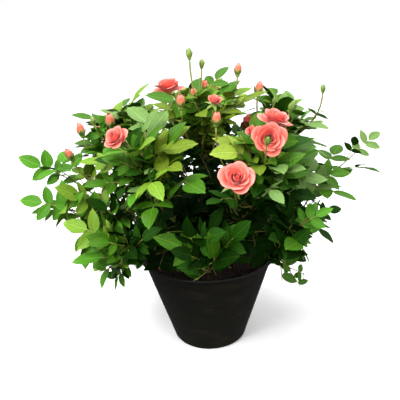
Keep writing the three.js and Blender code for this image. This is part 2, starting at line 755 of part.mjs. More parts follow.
const MATERIALS = {
  pot: { color: 0x24251f, roughness: 0.5, metalness: 0.1 },
  compost: { color: 0x2a1d14, roughness: 1, metalness: 0 },
  wood: { color: 0x6b5a35, roughness: 0.8, metalness: 0 },
  foliage: { color: 0x3f7a2c, roughness: 0.55, metalness: 0 },
};

function mesh(name, geometry, material) {
  const part = new THREE.Mesh(geometry, new THREE.MeshStandardMaterial(MATERIALS[material]));
  part.name = name;
  return part;
}

const bush = new THREE.Group();
bush.name = "rose_bush";
bush.add(mesh("pot", potGeometry(), "pot"));
bush.add(mesh("compost", compostGeometry(), "compost"));
bush.add(mesh("stem", stemGeometry(0), "wood"));

const masses = layOutMasses();
const flowers = FLOWERS.map((flower) => {
  const mass = nearestMass(vector(...flower.at), masses);
  const line = pedicelLine(flower, mass);
  mass.lines.push(...linePieces(line));
  return { ...flower, mass, line };
});
const sprays = layOutSprays(masses);
const stemClearance = solidOf(stemGeometry(GAP));

for (const mass of masses) {
  const cane = solidOf(limb(mass.cane, CANE_BASE_RADIUS, CANE_TIP_RADIUS, CANE_SIDES));
  const caneBody = mainBody(cane.subtract(stemClearance));
  bush.add(mesh("cane_" + mass.name, geometryOf(caneBody), "wood"));

  const shapes = [limb(mass.stem, CANE_TIP_RADIUS, STEM_END_RADIUS, STEM_SIDES), heartGeometry(mass)];
  for (const flower of flowers.filter((each) => each.mass === mass)) {
    shapes.push(limb(flower.line, PEDICEL_RADIUS, PEDICEL_RADIUS, PEDICEL_SIDES));
    shapes.push(flowerGeometry(flower));
  }
  shapes.push(...sprays.filter((each) => each.mass === mass).map(sprayGeometry));
  const solid = shapes.map(solidOf).reduce((a, b) => a.add(b));
  bush.add(mesh("foliage_" + mass.name, geometryOf(mainBody(solid)), "foliage"));
}

export default bush;
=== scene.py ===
"""A miniature rose bush in its nursery pot.

Sizes are in millimetres until a piece's mesh is made, which turns them into metres.
The origin is the middle of the pot's underside, and the front of the bush is -Y.
"""
import math

import bmesh
import bpy
import numpy as np
from mathutils import Matrix, Vector, noise


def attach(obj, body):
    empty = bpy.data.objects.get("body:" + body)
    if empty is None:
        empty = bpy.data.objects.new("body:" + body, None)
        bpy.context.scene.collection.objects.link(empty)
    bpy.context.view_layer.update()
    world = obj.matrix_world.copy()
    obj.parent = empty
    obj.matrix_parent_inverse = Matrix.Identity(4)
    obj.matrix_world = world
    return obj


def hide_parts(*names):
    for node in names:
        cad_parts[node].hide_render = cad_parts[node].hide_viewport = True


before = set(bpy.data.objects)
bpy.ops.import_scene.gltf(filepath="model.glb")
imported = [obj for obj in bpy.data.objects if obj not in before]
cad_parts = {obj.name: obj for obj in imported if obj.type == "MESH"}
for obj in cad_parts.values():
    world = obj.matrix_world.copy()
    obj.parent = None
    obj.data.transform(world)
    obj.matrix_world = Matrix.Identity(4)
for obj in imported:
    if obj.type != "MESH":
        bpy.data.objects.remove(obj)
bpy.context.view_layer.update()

MM = 0.001
UP = np.array([0.0, 0.0, 1.0])
GOLDEN_ANGLE = 137.508

# Pot and compost
POT_HEIGHT = 105
POT_BASE_RADIUS = 41
POT_RIM_RADIUS = 77
POT_OVAL = 0.93
POT_WALL = 2.6
POT_FLOOR = 4
POT_MIDDLE = 60
FOOT_ROUND = 2
FLARE_HEIGHT = 6
FLARE_STEP = 5.5
LIP_RADIUS = 1.5
COMPOST_EDGE = POT_HEIGHT - 12
COMPOST_TOP = COMPOST_EDGE + 2

# Stem and canes
GAP = 0.3
STEM_HEIGHT = 20
STEM_FLARE_RADIUS = 12
STEM_RADIUS = 8
STEM_LEAN = 1.5
CANE_BASE_RADIUS = 2.1
CANE_TIP_RADIUS = 1.7
STEM_END_RADIUS = 1.1
CANE_ARCH = 0.45

# Crown: a broad dome over a skirt that hangs lower at both sides than at front and back
CROWN_FOOT = np.array([0.0, 0.0, 120.0])
CROWN_RADIUS = 152
CROWN_MIDDLE = -8  # sideways, as the crown leans a little to the left
CROWN_WIDEST = 175  # the height at which the dome starts over the skirt
CROWN_RISE = 115
CROWN_POWER = 2.4
CROWN_HEART = np.array([0.0, 0.0, 140.0])  # the point that leaves face away from
HANG_DEPTH = 105  # below the widest height, over which leaves come to hang
# Where leaves are fewer: low down, far to the left, and far out at both sides below AIRY_BELOW
SPARSE_BELOW = 122
AIRY_LEFT_OF = -112
AIRY_BELOW = 205
AIRY_SIDEWAYS = 0.72  # of its distance from the middle axis, that an airy leaf stands to one side
AIRY_FROM = 95
AIRY_STEP = 20  # further out than AIRY_FROM, and over SPARSE_BELOW, that the shares change
AIRY_SHARE = 0.5
AIRY_SHARE_LOW = 0.8
FURTHEST_OUT = 0.86  # of a leaf's distance from the crown's foot, at which it must be in the crown
SKIRT_SLOPE = 0.42
SKIRT_LOW_SIDES = 56  # the height of its edge at both sides
SKIRT_START = 70  # from the middle axis outwards
SKIRT_RISE = 0.62
SKIRT_CLEAR = 6  # over the lip
SKIRT_POWER = 2.5
SKIRT_RAMP = 25
LOWEST_ELEVATION = -32
RINGS = [
    {"name": "top", "count": 1, "elevation": 90, "turn": 0, "tip": (0, 178), "stem": 90},
    {"name": "upper", "count": 5, "elevation": 47, "turn": -52, "tip": (42, 154), "stem": 49},
    {"name": "outer", "count": 9, "elevation": 13, "turn": -90, "tip": (60, 130), "stem": 9},
]
STEM_SHARE = 0.8  # of the crown's reach
CANES_SET_OUT = 3  # from the middle of the stem, in the outermost ring
CANES_LEAVE_AT = (0.75, 0.35)  # shares of the stem's height, in the innermost ring and in the outermost

# Leaves in layers: the outer ones end on the crown's surface, and the others fill it within.
# A layer's rise is the sine of its elevation at the first leaf and at the last.
SPREAD = 0.85
LEAN = 0.5
LONG_LEAN = np.array([0.0, -1.0, 0.0])
LOWEST_RISE = math.sin(math.radians(LOWEST_ELEVATION))
LAYERS = [
    {"leaves": 400, "seeds": 70000, "own_seeds": 100, "turn": 0, "rise": (1, LOWEST_RISE), "top_weight": 1.25,
     "reach": (0.9, 1.03), "size": 1, "lean": None, "left_out": 0.45, "inner": False},
    {"leaves": 260, "seeds": 80000, "own_seeds": 3000, "turn": 60, "rise": (1, LOWEST_RISE), "top_weight": 1,
     "reach": (0.25, 0.88), "size": 1, "lean": None, "left_out": 0, "inner": True},
    {"leaves": 120, "seeds": 90000, "own_seeds": 4000, "turn": 20, "rise": (0.98, -0.1), "top_weight": 1,
     "reach": (0.12, 0.5), "size": 1.15, "lean": LONG_LEAN * 0.6, "left_out": 0, "inner": True},
]
LEAFLET_LENGTH = 24
LEAFLET_HALF_WIDTH = 0.275
LEAFLET_WIDTHS = (0.84, 1.16)
END_SIZE = 1.15
STALK_LENGTH = 37
STALK_ARCH = 2.5
# The leaflets in pairs: their share of the stalk, their size and how far they tilt up
PAIRS_OF_THREE = ((0.66, 0.92, -0.05),)
PAIRS_OF_FIVE = ((0.38, 0.80, -0.2), (0.78, 0.95, 0.0))
PAIRS_OF_SEVEN = ((0.26, 0.66, -0.25), (0.54, 0.84, -0.12), (0.84, 0.95, 0.02))
LEAVES_OF_SEVEN = 0.15  # of all leaves
LEAVES_OF_THREE_UNDER = 0.62  # in size, at the sides of a shoot
LEAF_SIZES = (0.6, 1.15)
LEAF_DROOPS = (0.1, 0.4)
SIDE_LEAF_DROOPS = (0.1, 0.45)
SIDE_LEAF_STEP = 16
# Leaves along a line: the shares of it between which they leave it, and their sizes
ON_STEMS = (0.1, 0.98, (0.7, 1.0))
ON_TWIGS = (0.25, 0.93, (0.5, 1.0))
ON_PEDICELS_FROM, ON_PEDICELS_SIZES = 0.15, (0.5, 0.85)
TWIGS_LEAVE_AT = (0.08, 0.97)  # shares of a stem
FEWEST_LEAFLETS = 0.4  # of a leaf's leaflets: with fewer free to grow, the leaf is left out
POT_MARGIN = 2
FREE_AHEAD = 38  # how far ahead of a flower, and towards the front, no leaf hides it
FREE_ROUND_BLOOM, FREE_ROUND_BUD = 2.5, 1.5
FRONT = np.array([0.0, -0.92, 0.38])
TWIG_RADII = (1.15, 0.75)
STALK_RADII = (0.65, 0.4)
HANG_OUT, HANG_DOWN = 0.5, 0.87
SPREAD_OVER, SPREAD_FLAT, SWAY = 45, 0.7, 0.4  # how a mass's leaves fan out from its stem
# How far a leaf at the side of a shoot heads along it, off it, out of the crown, up, and down where it hangs
ALONG_SHOOT, OFF_SHOOT, OUT_OF_CROWN, TO_SKY, SAG = 0.55, 0.9, 0.45, 0.12, 0.5
FACE_OUT = 0.8
TO_LIGHT = np.array([-0.1, -0.55, 0.0])  # the way that the leaves on the front half turn
LIGHT_ENDS, LIGHT_RANGE = 60, 120  # from front to back, where that turn ends and over which it fades
SEEDS = {
    "long leaves": 900, "twigs": 20000, "on twigs": 5000, "on stems": 6000, "on pedicels": 7000, "airiness": 47,
    "leaflet forms": 400, "leaf tones": 52, "blooms": 300, "sepals": 500, "cane prickles": 8000,
    "stem prickles": 8100,
}

# Tones: the first region that holds a leaf's end, told by its sideways places and its heights, gives the tones that
# leaves inside the crown and leaves at its surface are dealt.
# The choice by place is partly painted light: the darker tones inside the crown and lower down are painted shade,
# and the paler, yellower tones high up are painted light
FAR = math.inf
PAINTED_SHADE_INSIDE_UNDER = 0.7  # of the crown's reach: a leaf nearer the crown's foot than this gets the darker inside tones, which are painted shade
TONE_REGIONS_WITH_PAINTED_LIGHT = [
    ((100, FAR), (205, FAR), "mid pale olive", "pale pale mid pale fresh pale"),
    ((55, FAR), (205, FAR), "mid deep olive", "pale mid deep pale fresh mid"),
    ((-FAR, -45), (212, FAR), "mid deep deep", "pale fresh mid mid deep bright"),
    ((-FAR, FAR), (232, FAR), "deep olive mid", "olive mid fresh olive young mid"),
    ((-FAR, -80), (180, FAR), "deep mid mid", "fresh bright fresh bright mid fresh"),
    ((90, FAR), (130, FAR), "deep deep mid", "mid deep mid pale bright deep"),
    ((60, FAR), (-FAR, SPARSE_BELOW + 10), "deep mid", "bright mid bright mid"),
    ((-FAR, FAR), (-FAR, SPARSE_BELOW + 10), "dark deep", "mid deep deep bright"),
    ((-FAR, -80), (-FAR, FAR), "deep mid", "fresh bright mid bright fresh mid"),
    ((80, FAR), (-FAR, FAR), "deep mid", "mid bright mid mid bright mid"),
    ((-FAR, FAR), (-FAR, 190), "dark", "dark deep mid dark deep dark"),
    ((-FAR, FAR), (-FAR, FAR), "dark", "deep mid deep dark dark deep"),
]
# Each tone's name, the display colours of its blade and of its veins, its roughness and its shine
LEAF_TONES = {
    # The darkest tone is painted shade: it goes only to leaves inside the crown and to surface leaves in its lower
    # and central parts
    "dark": ("darkest green leaf, painted shade", (14, 42, 3), (34, 66, 12), 0.5, 0.04),
    "deep": ("deep green leaf", (28, 66, 7), (54, 94, 22), 0.5, 0.06),
    "mid": ("green leaf", (60, 106, 15), (94, 136, 40), 0.45, 0.12),
    "bright": ("bright green leaf", (72, 132, 24), (112, 164, 58), 0.45, 0.12),
    "olive": ("olive green leaf", (98, 122, 26), (130, 148, 58), 0.46, 0.12),
    "fresh": ("fresh green leaf", (108, 146, 38), (142, 172, 74), 0.46, 0.12),
    "young": ("young yellow-green leaf", (132, 156, 50), (160, 180, 92), 0.46, 0.12),
    "pale": ("grey-green leaf", (104, 138, 70), (136, 164, 102), 0.5, 0.12),
}

# Leaves that reach out of the dome: where the tip of each ends
LONG_LEAVES = [
    (-193, -6, 222),
    (-190, -34, 187),
    (-128, 8, 272),
    (202, 62, 217),
    (149, -22, 201),
    (-112, -20, 62),
    (106, -24, 54),
    (58, 166, 204),
    (-74, 158, 196),
]

FLOWER_SUNK = 0.45  # of its radius, that a flower's base lies behind its place
# Flowers: place, direction that they face, radius, stage of opening and how far up its stalk leaves grow
FLOWERS = [
    ((-35, 18, 284), (-0.15, 0.05, 1), 17.5, "bloom", 0.85),
    ((-80, -70, 256), (-0.5, -0.6, 0.6), 13, "bloom", 0.7),
    ((66, -60, 266), (0.2, -0.1, 1), 16.5, "bloom", 0.7),
    ((57, -90, 256), (0.1, -1, 0.4), 16.5, "bloom", 0.7),
    ((26, -126, 234), (0.05, -0.75, 0.8), 16.5, "bloom", 0.7),
    ((60, 118, 214), (0.4, 0.9, 0.4), 17, "bloom", 0.7),
    ((-76, 108, 218), (-0.4, 0.9, 0.4), 16, "bloom", 0.7),
    ((104, 96, 204), (0.7, 0.7, 0.4), 15, "bloom", 0.7),
    ((11, -40, 280), (0.1, -0.4, 1), 8, "opening", 0.5),
    ((44, -64, 256), (-0.6, -0.5, 0.6), 7, "opening", 0.5),
    ((-138, -8, 222), (-0.4, -0.2, 1), 5.6, "colour", 0.5),
    ((-124, -6, 247), (-0.2, 0, 1), 6, "colour", 0.5),
    ((-90, -26, 260), (-0.1, -0.2, 1), 6.4, "colour", 0.4),
    ((-112, 0, 256), (-0.3, 0, 1), 3.6, "green", 0.4),
    ((-20, -46, 281), (0, -0.1, 1), 5.6, "colour", 0.35),
    ((12, -80, 272), (0.1, -0.1, 1), 5.2, "colour", 0.2),
    ((-11, 4, 318), (0, 0, 1), 4.4, "green", 0.3),
    ((1, 16, 306), (0.1, 0, 1), 3.8, "green", 0.3),
    ((37, 10, 299), (0.1, 0, 1), 5, "colour", 0.3),
    ((60, 30, 275), (0.2, 0.1, 1), 6.2, "colour", 0.4),
    ((73, 6, 267), (0.2, 0.1, 1), 3.4, "green", 0.4),
    ((88, -16, 266), (0.4, -0.1, 1), 5.4, "green", 0.4),
    ((123, 8, 278), (0.05, 0, 1), 3.6, "green", 0.5),
    ((3, 20, 283), (0.1, -0.2, 1), 4.6, "colour", 0.4),
    ((-8, 16, 276), (-0.2, -0.2, 1), 4.6, "colour", 0.4),
    ((53, -113, 261), (0.1, -0.6, 1), 3.8, "green", 0.2),
    ((20, 122, 262), (0, 0.4, 1), 6.5, "colour", 0.5),
    ((-118, 66, 228), (-0.5, 0.3, 1), 6, "colour", 0.5),
    ((-20, 136, 232), (-0.1, 0.8, 0.8), 7, "opening", 0.5),
]

# Open flowers: their size, how far the petals open and how many there are, the drop and the profile
# (radius, height) of the hip behind them, and the sepals' length, half width, angle and curl
OPEN_STAGES = {
    "bloom": {"size": 1, "openness": 1, "petals": 24, "drop": 5, "sepals": (0.8, 2.6, 95, 30),
              "hip": [(0, -1), (0.9, -1), (2.2, 0.5), (2.8, 2.4), (2.4, 4.6), (0, 5.4)]},
    "opening": {"size": 1.1, "openness": 0.55, "petals": 15, "drop": 4.5, "sepals": (1.1, 2.4, 70, 60),
                "hip": [(0, -1), (0.9, -1), (2, 0.5), (2.5, 2.2), (2.1, 4), (0, 5)]},
}

# Compost's crumbs, in metres
CRUMBS = {
    "Crumbs per square metre": ("NodeSocketFloat", 90000.0),
    "Smallest crumb": ("NodeSocketFloat", 0.0005),
    "Largest crumb": ("NodeSocketFloat", 0.0019),
    "Lowest height": ("NodeSocketFloat", (COMPOST_EDGE - 1.6) * MM),
    "Seed": ("NodeSocketInt", 7),
}

# Stage, in metres and degrees
CAMERA_PLACE = (0, -0.569, 0.397)
CAMERA_PITCH, CAMERA_YAW, CAMERA_ROLL = 22.26, -0.62, -2.28
CAMERA_LENS, CAMERA_SENSOR = 51.3, 36
FLOOR_REACH = 30.0
FLOOR_DROP = 0.0005
LAMPS_AIM = (0, 0, 0.2)
LAMPS = [  # name, place, size and power
    ("key light", (-0.7, -0.8, 1.2), 0.7, 24),
    ("fill light", (1.1, -0.9, 0.9), 1.0, 8),
    ("top light", (0.1, 0.3, 1.6), 0.9, 17),
]


# Plain mathematics

def seeded(seed):
    """A function that draws even numbers from 0 to 1, the same ones for the same seed."""
    state = [seed & 0xFFFFFFFF]

    def draw():
        state[0] = (state[0] + 0x6D2B79F5) & 0xFFFFFFFF
        t = state[0]
        t = ((t ^ (t >> 15)) * (1 | t)) & 0xFFFFFFFF
        t = (t ^ (t + (((t ^ (t >> 7)) * (61 | t)) & 0xFFFFFFFF))) & 0xFFFFFFFF
        return (t ^ (t >> 14)) / 4294967296

    return draw


def vec(x, y, z):
    return np.array([x, y, z], float)


def unit(v):
    return v / max(np.linalg.norm(v), 1e-9)


def lerp(a, b, share):
    return a + (b - a) * share


def clamp(value, low, high):
    return max(low, min(high, value))


def direction(azimuth, elevation):
    a, e = math.radians(azimuth), math.radians(elevation)
    return vec(math.cos(a) * math.cos(e), math.sin(a) * math.cos(e), math.sin(e))


def square_to(v, axis):
    return unit(v - axis * np.dot(v, axis))


def sides_of(axis, towards):
    """Two directions square to an axis and to each other, the first of them towards a given one."""
    side = square_to(towards, axis)
    return side, np.cross(axis, side)


def bezier(a, b, c, steps):
    t = np.linspace(0, 1, steps + 1)[:, None]
    return (1 - t) ** 2 * a + 2 * t * (1 - t) * b + t**2 * c


def point_along(points, share):
    points = np.asarray(points)
    lengths = np.linalg.norm(np.diff(points, axis=0), axis=1)
    left = clamp(share, 0, 1) * lengths.sum()
    for start, end, length in zip(points, points[1:], lengths):
        if left <= length:
            return lerp(start, end, left / length)
        left -= length
    return points[-1].copy()


def line_length(points):
    return float(np.linalg.norm(np.diff(np.asarray(points), axis=0), axis=1).sum())


# Gathering faces into one piece

class Gathered:
    """Points, quads and UV places that end up in one piece."""

    def __init__(self):
        self.points, self.quads, self.uvs, self.count = [], [], [], 0

    def add(self, points, quads, uvs):
        self.points.append(np.asarray(points, float).reshape(-1, 3))
        self.quads.append(np.asarray(quads, int).reshape(-1, 4) + self.count)
        self.uvs.append(np.asarray(uvs, float).reshape(-1, 2))
        self.count += len(self.points[-1])

    def piece(self, name, material, slot, replaced=(), weld=False):
        points = np.concatenate(self.points) * MM
        quads = np.concatenate(self.quads)
        uvs = np.concatenate(self.uvs)
        mesh = bpy.data.meshes.new(name)
        mesh.vertices.add(len(points))
        mesh.vertices.foreach_set("co", points.ravel())
        mesh.loops.add(quads.size)
        mesh.loops.foreach_set("vertex_index", quads.ravel())
        mesh.polygons.add(len(quads))
        mesh.polygons.foreach_set("loop_start", np.arange(0, quads.size, 4))
        mesh.polygons.foreach_set("use_smooth", np.full(len(quads), True))
        layer = mesh.uv_layers.new(name="UVMap")
        layer.data.foreach_set("uv", uvs[quads.ravel()].ravel())
        mesh.update(calc_edges=True)
        if weld:
            shape = bmesh.new()
            shape.from_mesh(mesh)
            bmesh.ops.remove_doubles(shape, verts=shape.verts, dist=0.5e-5)
            shape.to_mesh(mesh)
            shape.free()
        mesh.validate()
        return place_piece(name, mesh, material, replaced)


def new_object(name, data):
    made = bpy.data.objects.new(name, data)
    bpy.context.scene.collection.objects.link(made)
    return made


def place_piece(name, mesh, material, replaced=()):
    piece = new_object(name, mesh)
    mesh.materials.append(material)
    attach(piece, "root")
    if replaced:
        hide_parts(*replaced)
    return piece


def grid_quads(rows, columns, closed):
    """Quads of a grid of points, row after row, that may close round its columns."""
    quads = []
    for i in range(rows - 1):
        for j in range(columns if closed else columns - 1):
            k = (j + 1) % columns
            quads.append([i * columns + j, i * columns + k, (i + 1) * columns + k, (i + 1) * columns + j])
    return np.array(quads)


def tube(gathered, path, radii, sides, knots=None):
    """A round limb along a path, with an even number of sides and closed ends."""
    path = np.asarray(path, float)
    steps = len(path)
    radius = np.interp(np.linspace(0, 1, steps), np.linspace(0, 1, len(radii)), radii)
    along = np.gradient(path, axis=0)
    side = vec(1, 0, 0) if abs(unit(along[0])[2]) > 0.9 else vec(0, 0, 1)
    angles = np.linspace(0, 2 * math.pi, sides, endpoint=False)
    points, uvs = [], []
    run = 0.0
    for i in range(steps):
        axis = unit(along[i])
        side, other = sides_of(axis, side)
        if i:
            run += np.linalg.norm(path[i] - path[i - 1])
        thickness = radius[i] * (knots(path[i]) if knots else 1)
        for k, angle in enumerate(angles):
            points.append(path[i] + (side * math.cos(angle) + other * math.sin(angle)) * thickness)
            uvs.append((k / sides, run / 20))
    quads = grid_quads(steps, sides, True).tolist()
    for ring, turn in ((0, -1), (steps - 1, 1)):
        points.append(path[ring] + unit(along[ring]) * turn * radius[ring] * 0.5)
        uvs.append((0.5, run / 20))
        cap = len(points) - 1
        for k in range(0, sides, 2):
            a, b, c = (ring * sides + (k + j) % sides for j in range(3))
            quads.append([a, b, c, cap] if turn > 0 else [c, b, a, cap])
    gathered.add(points, quads, uvs)


def turned(gathered, profile, segments, shape=None):
    """A surface of revolution about Z, from a profile of (radius, height)."""
    angles = np.linspace(0, 2 * math.pi, segments, endpoint=False)
    points, uvs = [], []
    run = 0.0
    for i, (radius, height) in enumerate(profile):
        if i:
            run += math.dist(profile[i], profile[i - 1])
        for k, angle in enumerate(angles):
            point = vec(radius * math.cos(angle), radius * math.sin(angle), height)
            points.append(shape(point) if shape else point)
            uvs.append((k / segments, run / 100))
    gathered.add(points, grid_quads(len(profile), segments, True), uvs)


# Crown and masses

def inside_crown(point):
    radius = math.hypot(point[0] - CROWN_MIDDLE, point[1])
    rise = point[2] - CROWN_WIDEST
    if rise < 0:
        return radius <= CROWN_RADIUS + SKIRT_SLOPE * rise
    return (radius / CROWN_RADIUS) ** CROWN_POWER + (rise / CROWN_RISE) ** CROWN_POWER <= 1


def crown_reach(along):
    near, far = 0.0, 300.0
    for _ in range(24):
        middle = (near + far) / 2
        if inside_crown(CROWN_FOOT + along * middle):
            near = middle
        else:
            far = middle
    return near


def skirt_height(point):
    """The height under which no leaf hangs: just over the rim, then lower at both sides than in front."""
    radius = math.hypot(point[0], point[1])
    sideways = (point[0] / max(radius, 1)) ** 2
    beyond = max(radius - SKIRT_START, 0)
    front = POT_HEIGHT + SKIRT_CLEAR + beyond * SKIRT_RISE
    return lerp(front, SKIRT_LOW_SIDES, sideways**SKIRT_POWER * clamp(beyond / SKIRT_RAMP, 0, 1))


def lay_out_masses():
    masses = []
    for k, ring in enumerate(RINGS):
        place = k / (len(RINGS) - 1)
        for i in range(ring["count"]):
            name = f"{ring['name']}_{i + 1}" if ring["count"] > 1 else ring["name"]
            azimuth = ring["turn"] + 360 / ring["count"] * i
            cane, stem = limb_lines(azimuth, ring, place)
            axis = direction(azimuth, ring["elevation"])
            masses.append({"name": name, "axis": axis, "cane": cane, "stem": stem})
    return masses


def limb_lines(azimuth, ring, place):
    """The lines of a cane and of the stem that goes on from it through its mass of leaves."""
    sideways = direction(azimuth, 0)
    tip_radius, tip_height = ring["tip"]
    tip = sideways * tip_radius + UP * tip_height
    start = sideways * place * CANES_SET_OUT + UP * (COMPOST_TOP + STEM_HEIGHT * lerp(*CANES_LEAVE_AT, place))
    bend = sideways * tip_radius * CANE_ARCH + UP * tip_height
    cane = bezier(start, bend, tip, 16)
    heading = unit(tip - point_along(cane, 0.8))
    stem_start = tip + heading * GAP
    stem_along = direction(azimuth, ring["stem"])
    stem_end = CROWN_FOOT + stem_along * crown_reach(stem_along) * STEM_SHARE
    stem_bend = stem_start + heading * np.linalg.norm(stem_end - stem_start) * 0.4
    return cane, bezier(stem_start, stem_bend, stem_end, 14)


def depth_in_space(point, mass, masses):
    outward = point - CROWN_FOOT
    return min(np.dot(outward, unit(mass["axis"] - other["axis"])) for other in masses if other is not mass)


def nearest_mass(point, masses):
    return max(masses, key=lambda mass: depth_in_space(point, mass, masses))


def clear_of_pot(point, margin):
    radius = math.hypot(point[0], point[1] / POT_OVAL)
    return radius > POT_RIM_RADIUS + margin or point[2] > POT_HEIGHT + margin


def branch_share(place, stem, slope):
    """The share of a stem at which a twig to a place leaves it, sloping forwards."""
    line = stem[-1] - stem[0]
    length = np.linalg.norm(line)
    reach = np.dot(place - stem[0], line) / length
    away = np.linalg.norm(place - point_along(stem, reach / length))
    return clamp((reach - slope * away) / length, *TWIGS_LEAVE_AT)


# Leaves

def leaf_heading(tip, mass, spread, draw):
    """Outwards on the dome, and hanging by degrees below its widest height."""
    stem = mass["stem"]
    along = unit(stem[-1] - stem[0])
    lateral = (tip - stem[0]) - along * np.dot(tip - stem[0], along)
    low = clamp((CROWN_WIDEST - tip[2]) / HANG_DEPTH, 0, 1)
    hanging = unit(vec(tip[0], tip[1], 0)) * HANG_OUT - UP * HANG_DOWN
    sway = vec(draw() - 0.5, draw() - 0.5, draw() - 0.6)
    lateral[2] *= SPREAD_FLAT * (1 - low)
    return unit(lerp(unit(tip - CROWN_FOOT), hanging, low) + lateral * spread / SPREAD_OVER + sway * SWAY)


def leaf_face(place, heading, lean):
    to_light = TO_LIGHT * clamp((LIGHT_ENDS - place[1]) / LIGHT_RANGE, 0, 1)
    return square_to(unit(place - CROWN_HEART) * FACE_OUT + UP + lean + to_light, heading)


class Leaf:
    """A stalk with leaflets in pairs and one at its end."""

    def __init__(self, start, heading, face, size, droop, pairs, draw):
        self.face, self.start = face, start
        self.inner, self.far, self.kept = False, False, True
        stalk_along = unit(heading + face * droop)
        end_along = unit(heading - face * droop)
        self.end = start + stalk_along * STALK_LENGTH * size
        across = np.cross(heading, face)
        arch = lambda share: face * STALK_ARCH * size * 4 * share * (1 - share)
        self.path = [lerp(start, self.end, share) + arch(share) for share in (0, 0.25, 0.5, 0.75, 1)]
        self.leaflets = []
        self.grow(self.end, end_along, LEAFLET_LENGTH * size * END_SIZE, draw)
        for share, small, tilt in pairs:
            root = lerp(start, self.end, share) + arch(share)
            for side in (-1, 1):
                along = stalk_along * 0.5 + across * 0.95 * side + face * (tilt + lerp(-0.12, 0.12, draw()))
                self.grow(root, unit(along), LEAFLET_LENGTH * size * small * lerp(0.9, 1.06, draw()), draw)

    def grow(self, root, along, length, draw):
        face = square_to(self.face + UP * 0.25 + vec(draw() - 0.5, draw() - 0.5, 0) * 0.5, along)
        self.leaflets.append((root, along, face, length))


def leaf_to(tip, mass, spread, lean, shrink, draw):
    """A leaf whose end reaches the given place."""
    heading = leaf_heading(tip, mass, spread, draw)
    face = leaf_face(tip, heading, lean)
    size = lerp(*LEAF_SIZES, draw()) * shrink
    droop = lerp(*LEAF_DROOPS, draw())
    end_along = unit(heading - face * droop)
    stalk_end = tip - end_along * LEAFLET_LENGTH * size * END_SIZE
    start = stalk_end - unit(heading + face * droop) * STALK_LENGTH * size
    pairs = PAIRS_OF_SEVEN if draw() > 1 - LEAVES_OF_SEVEN else PAIRS_OF_FIVE
    return Leaf(start, heading, face, size, droop, pairs, draw)


def side_leaves(shoot, first, last, sizes, seed):
    """Leaves that leave a shoot one after the other, each a golden angle round it."""
    draw = seeded(seed)
    length = line_length(shoot)
    along_run = last * length
    leaves = []
    turn = draw() * 360
    while along_run > first * length:
        place = point_along(shoot, along_run / length)
        ahead = point_along(shoot, along_run / length + 0.05)
        axis = unit(ahead - place)
        out = square_to(direction(turn, 20 * (draw() - 0.5)), axis)
        outward = unit(place - CROWN_HEART)
        heading = unit(axis * ALONG_SHOOT + out * OFF_SHOOT + outward * OUT_OF_CROWN + UP * TO_SKY)
        low = clamp((CROWN_WIDEST - place[2]) / HANG_DEPTH, 0, 1)
        heading = unit(heading - UP * SAG * low)
        lean = vec(draw() - 0.5, draw() - 0.5, 0) * 2 * LEAN
        size = lerp(*sizes, draw())
        pairs = PAIRS_OF_THREE if size < LEAVES_OF_THREE_UNDER else PAIRS_OF_FIVE
        face = leaf_face(place, heading, lean)
        leaves.append(Leaf(place, heading, face, size, lerp(*SIDE_LEAF_DROOPS, draw()), pairs, draw))
        turn += GOLDEN_ANGLE
        along_run -= SIDE_LEAF_STEP * lerp(0.8, 1.25, draw())
    return leaves


def airiness(leaf):
    """The share of leaves left out at a place: many far out at both sides, and none elsewhere or on long sprays."""
    x, y, z = leaf.end
    if leaf.far or z > AIRY_BELOW or abs(x) < AIRY_SIDEWAYS * math.hypot(x, y):
        return 0
    share = AIRY_SHARE if z > SPARSE_BELOW + AIRY_STEP else AIRY_SHARE_LOW
    return share * clamp((abs(x - CROWN_MIDDLE) - AIRY_FROM) / AIRY_STEP, 0, 1)


def lay_out_leaves(masses, pedicels):
    """All leaves, with the twigs that carry them."""
    leaves, twigs = [], []

    def grow(tip, spread, lean, shrink, seed, sides, far=False):
        """A leaf to a place, the twig from the nearest mass's stem to it, and the leaves at the twig's sides."""
        mass = nearest_mass(tip, masses)
        stem = mass["stem"]
        leaf = leaf_to(tip, mass, spread, lean, shrink, seeded(seed))
        leaf.far = far
        draw = seeded(seed + SEEDS["twigs"])
        start = point_along(stem, branch_share(leaf.start, stem, lerp(0.2, 1.3, draw())))
        span = np.linalg.norm(leaf.start - start)
        heading = unit(leaf.path[1] - leaf.path[0])
        twig = bezier(start, leaf.start - heading * span * 0.35, leaf.start, 7)
        leaves.append(leaf)
        twigs.append(twig)
        if sides:
            beside = side_leaves(twig, *ON_TWIGS, seed + SEEDS["twigs"] + SEEDS["on twigs"])
            for small in beside:
                small.far = far
            leaves.extend(beside)
        return leaf

    for i, tip in enumerate(LONG_LEAVES):
        grow(vec(*tip), 0, LONG_LEAN, 1, SEEDS["long leaves"] + i, True, far=True)
    for layer in LAYERS:
        for i in range(layer["leaves"]):
            draw = seeded(layer["seeds"] + i)
            rise = lerp(*layer["rise"], ((i + 0.5) / layer["leaves"]) ** layer["top_weight"])
            along = direction(i * GOLDEN_ANGLE + layer["turn"], math.degrees(math.asin(rise)))
            tip = CROWN_FOOT + along * crown_reach(along) * lerp(*layer["reach"], draw())
            lean = direction(360 * draw(), 0) * LEAN if layer["lean"] is None else layer["lean"]
            airy = tip[2] < SPARSE_BELOW or tip[0] < AIRY_LEFT_OF
            if tip[2] > skirt_height(tip) and not (airy and draw() < layer["left_out"]):
                sides = tip[2] > SPARSE_BELOW and not layer["inner"]
                leaf = grow(tip, SPREAD, lean, layer["size"], layer["own_seeds"] + i, sides)
                leaf.inner = layer["inner"]
    for i, mass in enumerate(masses):
        leaves.extend(side_leaves(mass["stem"], *ON_STEMS, SEEDS["on stems"] + i))
    for i, (line, leafy) in enumerate(pedicels):
        leaves.extend(side_leaves(line, ON_PEDICELS_FROM, leafy, ON_PEDICELS_SIZES, SEEDS["on pedicels"] + i))
    draw = seeded(SEEDS["airiness"])
    return [leaf for leaf in leaves if draw() > airiness(leaf)], twigs


